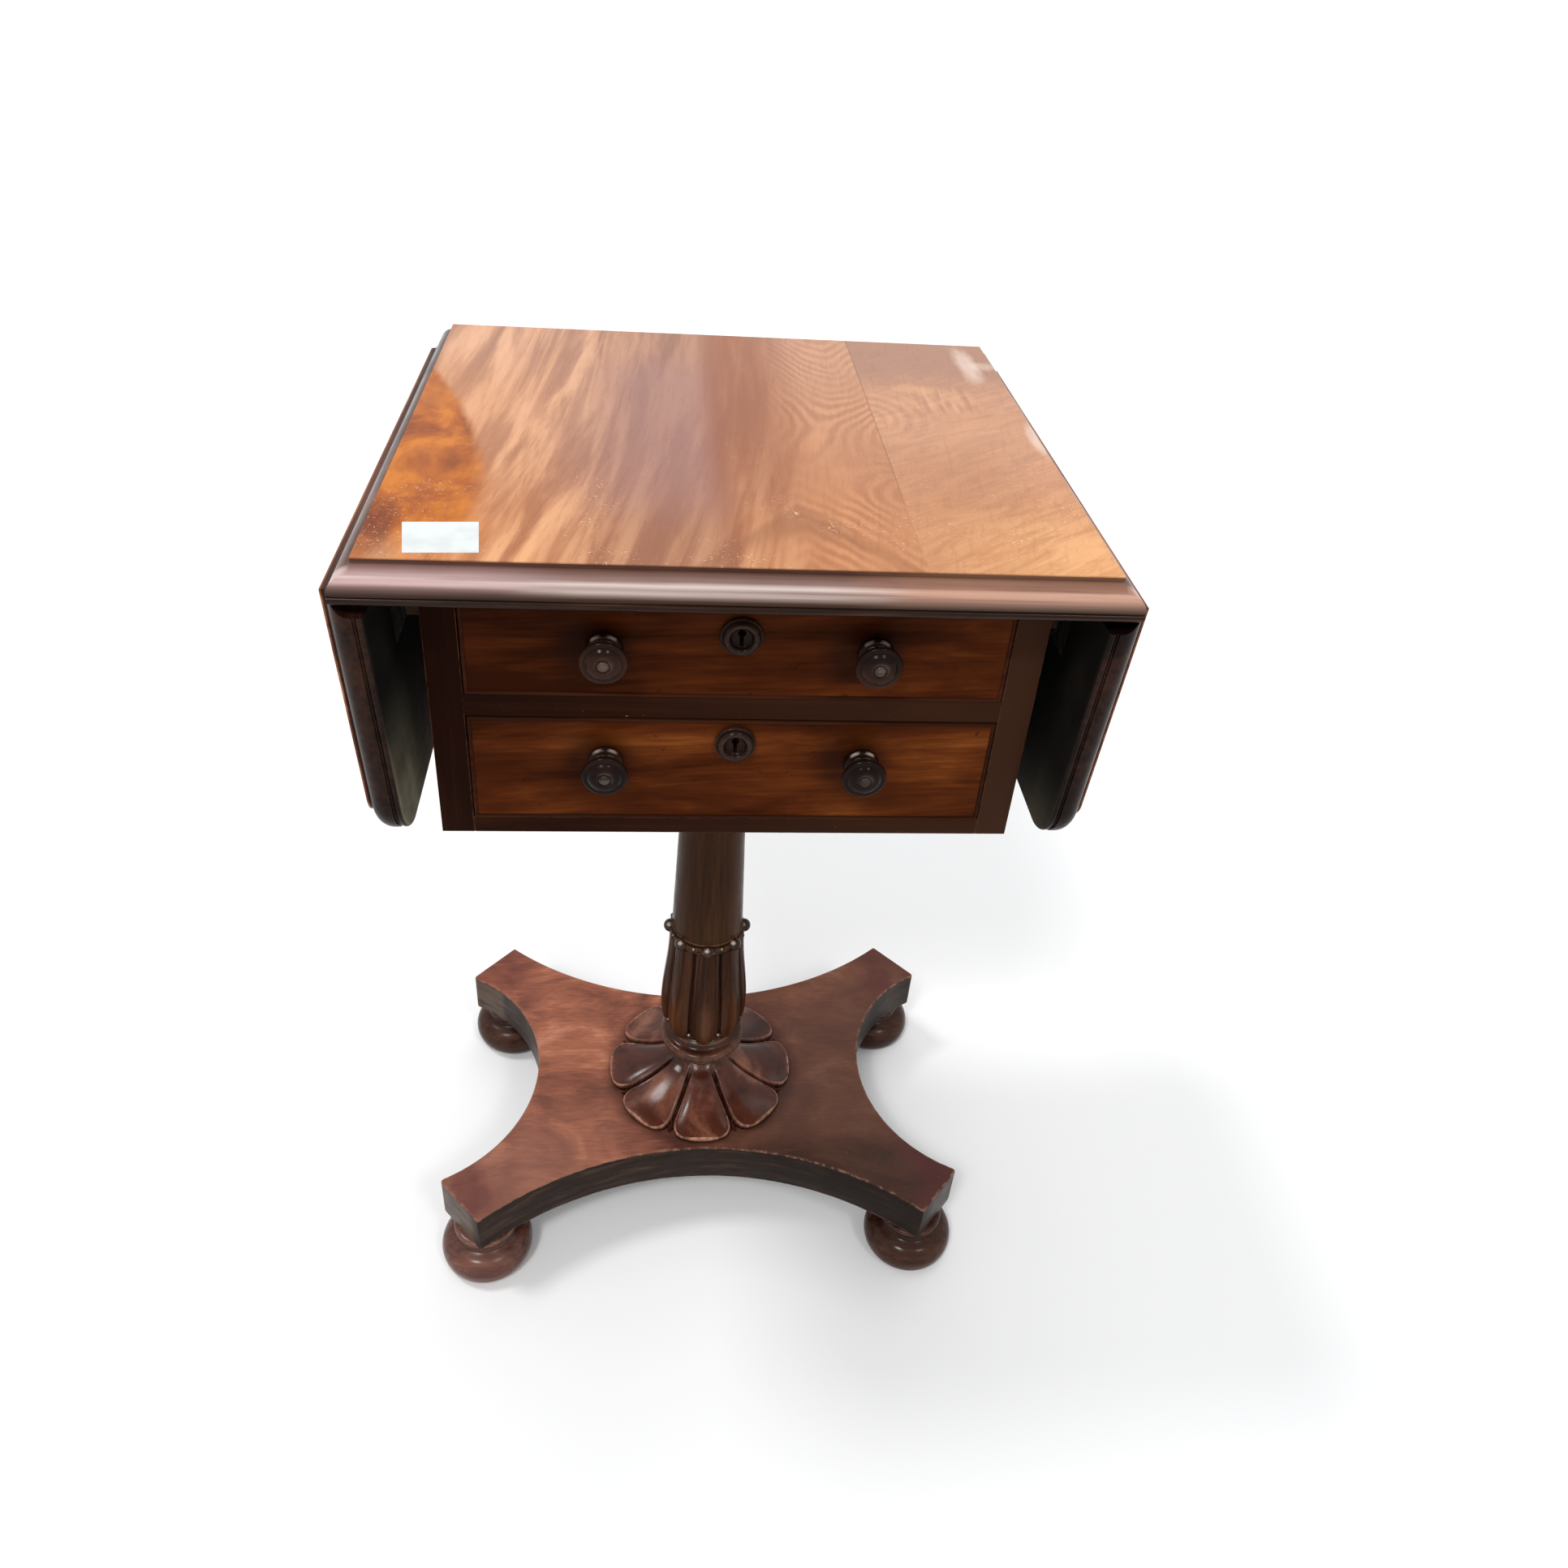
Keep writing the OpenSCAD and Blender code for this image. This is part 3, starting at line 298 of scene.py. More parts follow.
def top_wood():
    """The top: a wide board of flat-sawn mahogany with a pointed figure, and a narrow board at its right."""
    g = Graph("figured_top")
    joint_x = 0.0985
    sway = g.cloud(14, 6, 0)
    ripple = g.cloud(60, 22, 0, 3.0, 0.6)
    fade = g.between(g.cloud(30, 13, 0, shift=(0.3, 0.1, 0)), 0.35, 0.65, 0.25, 1.0)

    def lerp(factor, first, second):
        """first where factor is 0 and second where it is 1, for single numbers."""
        return (1.0 - factor) * first + factor * second

    def waves(reach, spacing, warp, shiver):
        """Lines at even steps of reach, bent a little by noise."""
        bent = reach + sway * warp + ripple * shiver
        return g.between(g.math("SINE", bent * (2 * math.pi / spacing)), -1.0, 1.0)

    # Ribbons of the wide board: they lean further over towards the front
    ahead = g.math("MAXIMUM", 0.1 - g.y, 0.0)
    along = g.x - g.y * 0.06 + ahead * ahead * 0.2
    ribbon = g.noise(g.vector(along * 54, g.y * 4.6, 0.0), 4.0, 0.58, 0.45)
    fine = g.noise(g.vector(along * 380, g.y * 24, 0.0), 3.0, 0.6)
    tone = g.between(ribbon, 0.36, 0.64) * 0.78 + fine * 0.22

    # Growth rings of the wide board: rounded Vs open to the back, that turn into a pointed arch at the front
    turn = g.between(g.y, 0.02, -0.11, 1.0, -0.5)
    middle = g.between(g.y, 0.1, -0.11, 0.076, 0.034)
    spread = g.length(g.between(g.y, 0.05, -0.1, 0.06, 0.005), (g.x - middle) * 2.6)
    reach = g.y - turn * spread
    rings = waves(reach, 0.0155, 0.04, 0.016)
    calm = g.between(abs(g.y + 0.055), 0.015, 0.05, 0.5, 1.0)
    fade = fade * calm * g.between(g.y, 0.2, 0.06, 0.45, 1.0)
    in_rings = g.between(g.x, 0.012, 0.05)
    ring_tone = (rings - 0.5) * fade * 0.46 + (0.42 + (fine - 0.5) * 0.3)
    tone = lerp(in_rings * 0.9, tone, ring_tone)

    # The narrow board: faint half rings at the joint, then soft streaks that rise to the back right
    narrow = g.math("GREATER_THAN", g.x, joint_x)
    half_rings = waves(g.length(g.x - joint_x, (g.y - 0.03) * 0.7), 0.009, 0.012, 0.003)
    near_joint = g.between(g.length(g.x - joint_x, g.y - 0.04), 0.02, 0.06, 0.16, 0.0)
    rise = g.vector((g.x * -0.6 + g.y * 0.8) * 120, (g.x * 0.8 + g.y * 0.6) * 24, 3.0)
    streaks = g.noise(rise, 4.0, 0.65, 0.9)
    bars = g.noise(g.vector(g.x * 190, g.y * 22, 1.0), 1.0, 0.5)
    bar_place = (g.between(abs(g.x - 0.155), 0.014, 0.03, 1.0, 0.0)
                 * g.between(abs(g.y - 0.07), 0.016, 0.034, 1.0, 0.0))
    narrow_tone = lerp(near_joint, g.between(streaks, 0.25, 0.75) * 0.24 + 0.38, half_rings)
    narrow_tone = lerp(bar_place * 0.35, narrow_tone, g.between(bars, 0.35, 0.65))
    tone = lerp(narrow, tone, narrow_tone)
    # These pale colours hold a painted sheen of reflected light as well as the wood's own colour.
    g.colour = g.ramp(tone, [(0.0, (164, 112, 86)), (0.35, (186, 134, 104)), (0.65, (212, 156, 120)),
                             (1.0, (232, 178, 140))])

    # Broad changes of hue from left to right and from back to front
    west = g.between(g.x, -0.2, -0.09, 0.4, 0.0)
    g.over(west * g.between(g.y, 0.16, 0.02), (206, 136, 78))
    warm = g.between(g.y + (ripple - 0.5) * 0.05, 0.0, -0.16, 0.0, 0.7)
    g.over(warm, g.ramp(tone, [(0.1, (170, 104, 62)), (0.45, (202, 136, 88)), (0.85, (230, 168, 116))]))
    grey = g.between(g.x, -0.125, -0.05) * g.between(g.x, -0.012, 0.002, 1.0, 0.0)
    g.over(grey * 0.5, (126, 80, 62))
    grey = grey * g.between(abs(g.y), 0.08, 0.17, 0.6, 0.1)
    g.over(grey, (160, 118, 112))
    red = g.between(g.x, -0.026, -0.008) * g.between(g.x, 0.022, 0.06, 1.0, 0.0)
    g.over(red * g.between(g.y, -0.2, -0.03, 0.35, 0.75), (146, 82, 50))
    inner = in_rings * g.between(g.y, 0.16, -0.04, 0.0, 0.4)
    g.over(inner * (1.0 - narrow), (184, 118, 74))
    aside = abs(g.x - 0.034)
    arch = g.between(aside * 1.3 + (g.y + (0.108 + ripple * 0.008)), -0.006, 0.005, 1.0, 0.0)
    inside = g.y + ripple * 0.02 + aside * aside * 14.0
    arch = arch * g.between(inside, -0.156, -0.134)
    g.over(arch * 0.55, (150, 96, 64))
    dull = narrow * g.between(g.y + ripple * 0.03, 0.075, 0.15, 0.0, 0.75)
    g.over(dull, (160, 118, 98))
    calmer = g.between(g.x, 0.06, 0.11) * (g.between(g.y, 0.0, -0.05) * g.between(g.x, 0.21, 0.15))
    g.over(calmer * 0.35, (166, 112, 80))
    gold = g.between(g.x, 0.07, 0.18) * g.between(g.y, -0.08, -0.18, 0.0, 0.5)
    g.over(gold, g.ramp(streaks, [(0.35, (222, 158, 100)), (0.6, (250, 192, 130))]))
    glint = g.length(g.x - 0.138, (g.y - 0.088) * 1.6)
    g.over(g.between(glint + ripple * 0.02, 0.014, 0.034, 0.4, 0.0), (230, 176, 124))

    # A deep orange wedge along the left edge, with brown clouds in it: a painted dark reflection, where the
    # painted sheen over the rest of the top is left out
    back = g.math("MAXIMUM", g.y + 0.15, 0.0)
    border = g.x + 0.149 + back * back
    soft = g.between(g.y, 0.0, -0.19, 0.004, 0.018)
    wedge = g.between(border - (ripple - 0.5) * 0.008, soft * -1.0, soft, 1.0, 0.0)
    clouds = g.noise(g.vector(g.x * 24, g.y * 15, 0.0), 4.0, 0.6, 0.5)
    dark_reflection = g.ramp(clouds + (ripple - 0.5) * 0.2, [(0.36, (120, 50, 6)), (0.48, (168, 84, 10)),
                                                   (0.62, (208, 120, 26))])
    g.over(wedge * g.between(g.y, -0.2, -0.15, 0.35, 0.96), dark_reflection)

    # The joint between the boards, pale marks, pores and fine scratches
    seam = g.between(abs(g.x - joint_x), 0.0002, 0.0008, 0.4, 0.0)
    g.over(seam * g.between(g.y, -0.12, -0.06), (110, 76, 56))
    for x, y, width, reach, amount in ((0.188, 0.150, 0.009, 0.040, 0.65), (0.199, 0.145, 0.012, 0.010, 0.4),
                                       (0.207, 0.004, 0.006, 0.030, 0.7)):
        far = g.length((g.x - x) / width, (g.y - y) / reach)
        g.over(g.between(far + ripple * 1.2, 1.0, 1.9, amount, 0.0), (232, 206, 190))
    pores = g.between(g.cloud(1100, 60, 0), 0.62, 0.74)
    g.over(pores * 0.2, (120, 76, 50))
    flecks = g.noise(g.vector(along * 300, g.y * 34, 0.0), 4.0, 0.65)
    g.over(g.between(flecks, 0.5, 0.7, 0.0, 0.17), (134, 84, 58))
    scratch = g.between(g.cloud(210, 240, 0, 3.0, 0.7, 2.5), 0.615, 0.675)
    where = g.between(g.y, 0.0, -0.1) * g.between(g.cloud(14, 18, 0), 0.47, 0.6)
    g.over(scratch * where * 0.7, (250, 214, 188))

    # The moulded edge below the flat is darker, with thin painted reflection lines, and on the front painted
    # light and shade by height: painted shade low down and a painted highlight band above it
    underside, flat = 0.7075, 0.7296
    below = g.between(g.z, flat, flat - 0.0006)
    reflection_lines = g.cloud(5, 5, 520, 3.0, 0.6)
    cloudy = g.cloud(12, 24, 60, 4.0, 0.6)
    mould_tone = reflection_lines * 0.5 + cloudy * 0.5
    mould = g.ramp(mould_tone, [(0.38, (44, 25, 18)), (0.5, (76, 47, 37)), (0.6, (112, 76, 62)),
                                (0.7, (150, 112, 98))])
    rise = (g.z - underside) / (flat - underside) - (cloudy - 0.5) * 0.05
    # Painted light and shade by height up the front of the moulding, pinker at the left and more orange at
    # the right.
    heights = (0.1, 0.235, 0.33, 0.41, 0.5, 0.585, 0.67, 0.755, 0.84, 0.925)
    left, middle, right = (g.ramp(rise, list(zip(heights, tints))) for tints in (
        ((26, 15, 9), (34, 20, 12), (70, 52, 46), (96, 76, 72), (140, 112, 106), (214, 182, 178),
         (218, 186, 182), (190, 160, 158), (138, 106, 100), (98, 66, 58)),
        ((26, 14, 6), (46, 28, 16), (74, 52, 40), (140, 118, 108), (206, 186, 178), (178, 156, 148),
         (224, 204, 198), (152, 126, 118), (108, 78, 68), (86, 57, 45)),
        ((26, 14, 8), (48, 30, 20), (98, 76, 64), (136, 106, 92), (176, 136, 118), (202, 158, 136),
         (210, 164, 142), (158, 116, 96), (138, 98, 80), (126, 90, 70))))
    blurred = g.x + (cloudy - 0.5) * 0.1
    shine = g.mix(g.between(blurred, -0.15, -0.08), left, middle)
    shine = g.mix(g.between(blurred, 0.04, 0.1), shine, right)
    shine = g.mix(g.between(reflection_lines, 0.45, 0.7, 0.0, 0.4), shine, mould)
    mould = g.mix(g.between(g.y, -0.188, -0.195, 0.0, 0.9), mould, shine)
    mould = g.mix(g.between(g.z, underside + 0.001, underside, 0.0, 0.7), mould, (40, 22, 16))
    g.over(below, mould)
    patches = g.cloud(24, 24, 24, 4.0, 0.6)
    return g.varnish(fine * 0.3 - pores, 0.08, patches, 0.06, 0.16, 0.3, specular=0.1, depth=0.0003)


def leaf_wood():
    """A hanging leaf: polished outside and round its edge, dull and grey-green with age inside, and painted
    shade on its edges and at the top of its inside.
    """
    g = Graph("leaf_wood")
    hinge_height, lean = 0.712, 0.0577
    shift = (0.3, 0.2, 0.1)
    figure = g.noise(grain(g, FIGURE, "Y", shift), 3.0, 0.55, 0.9)
    streak = g.noise(grain(g, STREAKS, "Y", shift), 4.0, 0.6)
    tone = figure * 0.6 + streak * 0.4
    ribbon = g.cloud(34, 4, 34, 4.0, 0.58, 0.5, shift=(0.1, 0.3, 0.2))
    shade = ribbon * 0.7 + streak * 0.3
    polished = g.ramp(shade, [(0.38, (116, 62, 40)), (0.5, (150, 90, 58)), (0.62, (194, 132, 92))])
    patches = g.cloud(30, 30, 30, 4.0, 0.6)
    aged = patches * 0.7 + tone * 0.3
    dull = g.ramp(aged, [(0.34, (70, 65, 52)), (0.5, (116, 109, 90)), (0.68, (156, 148, 124))])
    # Darker on the right leaf's inside.
    dull = g.mix(g.between(g.x, -0.1, 0.1, 0.0, 0.5), dull, (64, 57, 44))
    # Painted shade, near black, over the upper part of the inside, under the top; it reaches lower on the
    # right leaf.
    raised = g.z + g.between(g.x, -0.1, 0.1, 0.0, 0.05)
    dull = g.mix(g.between(raised, 0.53, 0.65, 0.0, 0.98), dull, (6, 4, 3))
    # The leaf leans, so its faces are told apart by how far out their plane lies at the height of the hinge
    plane = abs(g.x) + (hinge_height - g.z) * lean
    inside = g.between(plane, 0.2034, 0.2046, 1.0, 0.0)
    rim = g.between(plane, 0.2246, 0.2256, 1.0, 0.0)
    # The edges get painted shade, darkest and near black on the front ends.
    border = g.ramp(tone, [(0.34, (36, 17, 10)), (0.5, (60, 31, 20)), (0.68, (92, 54, 38))])
    ends = g.ramp(tone, [(0.34, (12, 5, 2)), (0.5, (24, 11, 6)), (0.68, (56, 32, 22))])
    border = g.mix(g.between(g.y, -0.188, -0.196), border, ends)
    g.colour = g.mix(rim, polished, border)
    g.over(inside, dull)
    g.over(g.between(patches, 0.5, 0.7) * 0.3, (30, 22, 18))
    roughness = g.between(patches, 0.3, 0.75, 0.24, 0.38) + inside * 0.4
    return g.finish(roughness, g.bump(streak, 0.16, 0.0004), specular=0.08)


def drawer_wood():
    """Drawer fronts: red-brown with soft golden streaks, more on the lower one, with painted shadows round
    the knobs and painted shade under the top.
    """
    g = Graph("drawer_wood")
    tilt = g.z - g.x * 0.06
    flow = g.noise(g.vector(g.x * 8, 0.7, tilt * 52), 4.0, 0.62, 0.5)
    fine = g.noise(g.vector(g.x * 16, 0.2, tilt * 380), 3.0, 0.6)
    cloud = g.cloud(13, 0, 22, shift=(0.3, 0, 0.1))
    tone = flow * 0.58 + (fine * 0.15 + cloud * 0.27)
    for change in ((g.z, 0.62, 0.6, -0.075, 0.04), (g.z, 0.6, 0.565, 0.0, -0.09),
                   (g.x, 0.02, 0.16, 0.0, 0.05), (g.x, -0.1, -0.15, 0.0, -0.03),
                   (abs(g.x - 0.045), 0.02, 0.06, 0.05, 0.0)):
        tone += g.between(*change)
    # These colours are darkened partly by painted shade, as the front faces away from the light above.
    g.colour = g.ramp(tone, [(0.36, (44, 15, 2)), (0.5, (74, 32, 9)), (0.6, (98, 48, 16)),
                             (0.72, (136, 76, 34))])
    # Painted shadows of the knobs: dark halos a little left of and below each knob.
    for x in (-0.084, 0.072):
        for z in (0.664, 0.585):
            away = g.length(g.x - x, g.z - z) + cloud * 0.012
            g.over(g.between(away, 0.018, 0.036, 0.62, 0.0), (30, 13, 8))
    # Painted shade along the top of the upper drawer, under the overhang of the top.
    g.over(g.between(g.z, 0.684, 0.693, 0.0, 0.5), (30, 13, 8))
    dents = g.between(g.cloud(160, 160, 160, 2.0, 0.5, 1.0), 0.70, 0.76)
    g.over(dents * 0.5, (24, 11, 7))
    patches = g.cloud(34, 34, 34, 3.0, 0.6)
    return g.varnish(fine, 0.06, patches, 0.06, 0.26, 0.4, specular=0.02)


def platform_wood():
    """The platform: mottled red-brown on top, purplish at the arm ends, and grey-brown down its sides."""
    g = Graph("platform_wood")
    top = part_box("platform")[1].z
    slow = g.cloud(13, 24, 0, 4.0, 0.6, 0.9)
    fine = g.cloud(60, 380, 300, 4.0, 0.65)
    tone = slow * 0.74 + fine * 0.26
    g.colour = g.ramp(tone, [(0.36, (106, 64, 52)), (0.47, (136, 82, 64)), (0.56, (158, 98, 74)),
                             (0.66, (186, 126, 100))])
    lean = g.x + abs(g.x) * (g.y * -4.0)
    g.over(g.between(lean, -0.06, 0.12, 0.0, 0.8), (78, 53, 43))
    ahead = g.between(g.x, -0.06, 0.0) * g.between(g.y, -0.07, -0.1)
    g.over(ahead * g.between(slow, 0.35, 0.6, 0.85, 0.6), (46, 32, 25))
    # Paler and greyer towards the front left.
    paler_front_left = g.between(g.x, -0.02, -0.16) * g.between(g.y, 0.0, -0.12)
    g.over(paler_front_left * 0.5, (140, 100, 88))
    ends = g.between(abs(g.x), 0.15, 0.2)
    cloud = g.cloud(26, 26, 0)
    g.over(ends * g.between(cloud, 0.35, 0.6, 0.2, 0.7), (84, 42, 42))
    # A dark ring on the platform just beyond the petal tips: painted shadow.
    g.over(g.between(g.length(g.x, g.y) + cloud * 0.02, 0.092, 0.108, 0.6, 0.0), (50, 27, 24))
    flecks = g.between(g.cloud(330, 330, 300, 3.0, 0.7, 1.5), 0.70, 0.75)
    where = g.between(g.cloud(13, 13, 10), 0.52, 0.66)
    g.over(flecks * where * 0.55, (196, 150, 128))
    side_tone = g.cloud(22, 22, 160, 4.0, 0.6)
    side = g.ramp(side_tone, [(0.34, (24, 14, 9)), (0.52, (40, 25, 17)), (0.68, (66, 46, 34))])
    ends = g.between(abs(g.x), 0.192, 0.2)
    side = g.mix(ends * g.between(side_tone, 0.3, 0.6, 0.2, 0.7), side, (100, 82, 68))
    side = g.mix(g.between(g.x, -0.05, 0.16, 0.0, 0.7), side, (20, 11, 6))
    g.over(g.between(g.z, top - 0.0003, top - 0.0015), side)
    chips = g.between(g.cloud(150, 150, 150, 3.0, 0.6), 0.42, 0.62)
    g.over(g.attribute("wear_and_highlight") * (chips * 0.8), (136, 98, 80))
    patches = g.cloud(30, 30, 30, 4.0, 0.6)
    return g.varnish(fine - flecks * 0.5, 0.14, patches, 0.08, 0.3, 0.46, specular=0.1)


def paper():
    g = Graph("blank_paper")
    fibre = g.cloud(700, 700, 700, 4.0, 0.6)
    stain = g.cloud(60, 60, 60)
    g.colour = g.mix(g.between(stain, 0.4, 0.7, 0.0, 0.5), (226, 230, 230), (204, 208, 206))
    return g.finish(0.75, g.bump(fibre, 0.2, 0.0002), specular=0.2)


# Meshes

def add_to_scene(name, data):
    obj = bpy.data.objects.new(name, data)
    bpy.context.scene.collection.objects.link(obj)
    return obj


def new_object(name, mesh, material, body, slot=None, *stands_for):
    """Adds a piece that rides on a body and stands for the CAD nodes it replaces."""
    obj = add_to_scene(name, mesh)
    mesh.materials.append(material)
    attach(obj, body)
    if stands_for:
        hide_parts(*stands_for)
    return obj


def shade(mesh, sharp=40.0):
    """Smooth shading, with a hard line where faces meet at more than sharp degrees."""
    mesh.shade_smooth()
    mesh.set_sharp_from_angle(angle=math.radians(sharp))
    return mesh


def mesh_from(name, vertices, faces, sharp=40.0):
    mesh = bpy.data.meshes.new(name)
    mesh.from_pydata([tuple(v) for v in vertices], [], faces)
    mesh.validate()
    bm = bmesh.new()
    bm.from_mesh(mesh)
    bmesh.ops.recalc_face_normals(bm, faces=bm.faces)
    bm.to_mesh(mesh)
    bm.free()
    return shade(mesh, sharp)


def set_mask(mesh, name, values):
    """A number from 0 to 1 at each vertex, for a material to read."""
    layer = mesh.attributes.get(name) or mesh.attributes.new(name, "FLOAT", "POINT")
    layer.data.foreach_set("value", [min(1.0, max(0.0, v)) for v in values])


def edge_masks(mesh, crest=1.0, hollow=1.0):
    """Marks crests as worn, and hollows as dark with grime and painted shade, from how the faces bend round
    each vertex.
    """
    bm = bmesh.new()
    bm.from_mesh(mesh)
    bm.normal_update()
    bend = []
    for vertex in bm.verts:
        total = 0.0
        for edge in vertex.link_edges:
            other = edge.other_vert(vertex)
            step = other.co - vertex.co
            if step.length > 1e-7:
                total += (other.normal - vertex.normal).dot(step) / step.length ** 2
        bend.append(total / max(1, len(vertex.link_edges)))
    bm.free()
    set_mask(mesh, "wear_and_highlight", [b * 0.0022 * crest for b in bend])
    set_mask(mesh, "grime_and_shade", [-b * 0.003 * hollow for b in bend])


def arc(cx, cy, radius, start, end, steps=8):
    """Points on an arc, in degrees, both ends included."""
    angles = [math.radians(start + (end - start) * i / steps) for i in range(steps + 1)]
    return [(cx + radius * math.cos(a), cy + radius * math.sin(a)) for a in angles]


def curve(*points, steps=6):
    """A smooth line through points, with the ends kept."""
    pts = [points[0]] + list(points) + [points[-1]]
    out = []
    for a, b, c, d in zip(pts, pts[1:], pts[2:], pts[3:]):
        for i in range(steps):
            t = i / steps
            out.append(tuple(0.5 * (2 * q + (r - p) * t + (2 * p - 5 * q + 4 * r - s) * t * t
                                    + (3 * q - p - 3 * r + s) * t ** 3) for p, q, r, s in zip(a, b, c, d)))
    return out + [points[-1]]


def quads(rows, sides, rings):
    """Four-sided faces from each of the first rows to the next of the rings, round all their sides."""
    return [(i * sides + j, i * sides + (j + 1) % sides,
             (i + 1) % rings * sides + (j + 1) % sides, (i + 1) % rings * sides + j)
            for i in range(rows) for j in range(sides)]


def tube_faces(rings, sides):
    """Faces between rings of vertices, then the first and the last ring as caps."""
    caps = [tuple(range(sides)), tuple(range((rings - 1) * sides, rings * sides))]
    return quads(rings - 1, sides, rings) + caps


def lathe(name, profile, sides=96, place=Matrix(), crest=1.0, hollow=1.0):
    """Turns a profile of (radius, height) in millimetres about Z, then puts it in place."""
    angles = [2 * math.pi * j / sides for j in range(sides)]
    vertices = [place @ Vector((radius * math.cos(a) * MM, radius * math.sin(a) * MM, height * MM))
                for radius, height in profile for a in angles]
    mesh = mesh_from(name, vertices, tube_faces(len(profile), sides))
    edge_masks(mesh, crest, hollow)
    return mesh


def polar(name, rings, sides, point):
    """A closed skin over rings of points. point(i, angle) gives a place in metres, how worn it is, and how
    dark it is with grime and painted shade.
    """
    made = [point(i, 2 * math.pi * j / sides) for i in range(rings) for j in range(sides)]
    places, wear_and_highlight, grime_and_shade = zip(*made)
    mesh = mesh_from(name, places, tube_faces(rings, sides), 60.0)
    set_mask(mesh, "wear_and_highlight", wear_and_highlight)
    set_mask(mesh, "grime_and_shade", grime_and_shade)
    return mesh


def bevelled(mesh, width, segments=2, angle=30.0):
    """Rounds the sharp edges of a mesh and marks the rounded strips as worn."""
    bm = bmesh.new()
    bm.from_mesh(mesh)
    bmesh.ops.recalc_face_normals(bm, faces=bm.faces)
    edges = [e for e in bm.edges if len(e.link_faces) == 2 and e.calc_face_angle() > math.radians(angle)]
    made = bmesh.ops.bevel(bm, geom=edges, offset=width, segments=segments, profile=0.6, affect="EDGES")
    bm.faces.index_update()
    strips = {f.index for f in made["faces"]}
    count = len(bm.faces)
    bm.to_mesh(mesh)
    bm.free()
    shade(mesh, 35.0)
    layer = mesh.attributes.new("wear_and_highlight", "FLOAT", "FACE")
    layer.data.foreach_set("value", [1.0 if i in strips else 0.0 for i in range(count)])
    return mesh


def board(name, low, high):
    """A board with softened edges, from its lowest corner to its highest."""
    x0, y0, z0 = low
    x1, y1, z1 = high
    vertices = [(x, y, z) for z in (z0, z1) for y in (y0, y1) for x in (x0, x1)]
    faces = [(0, 2, 3, 1), (4, 5, 7, 6), (0, 1, 5, 4), (2, 6, 7, 3), (0, 4, 6, 2), (1, 3, 7, 5)]
    return bevelled(mesh_from(name, vertices, faces), 0.0005)


def prism(name, outline, low, high):
    """An upright prism over an outline of (x, y) points in metres."""
    n = len(outline)
    vertices = [(x, y, low) for x, y in outline] + [(x, y, high) for x, y in outline]
    faces = [tuple(range(n)), tuple(range(n, 2 * n))]
    faces += [(i, (i + 1) % n, n + (i + 1) % n, n + i) for i in range(n)]
    return mesh_from(name, vertices, faces)


def cut(obj, cutter):
    """Takes the cutter out of obj and removes it."""
    modifier = obj.modifiers.new("cut", "BOOLEAN")
    modifier.operation = "DIFFERENCE"
    modifier.solver = "EXACT"
    modifier.object = cutter
    depsgraph = bpy.context.evaluated_depsgraph_get()
    made = bpy.data.meshes.new_from_object(obj.evaluated_get(depsgraph))
    obj.modifiers.clear()
    obj.data = made
    bpy.data.objects.remove(cutter)


# Base

def bump_at(value, centre, width):
    """1 where value is at centre, falling off smoothly over width."""
    return math.exp(-((value - centre) / width) ** 2)


def smooth(value, low, high):
    """0 below low, 1 above high and smooth between them."""
    t = min(1.0, max(0.0, (value - low) / (high - low)))
    return t * t * (3 - 2 * t)


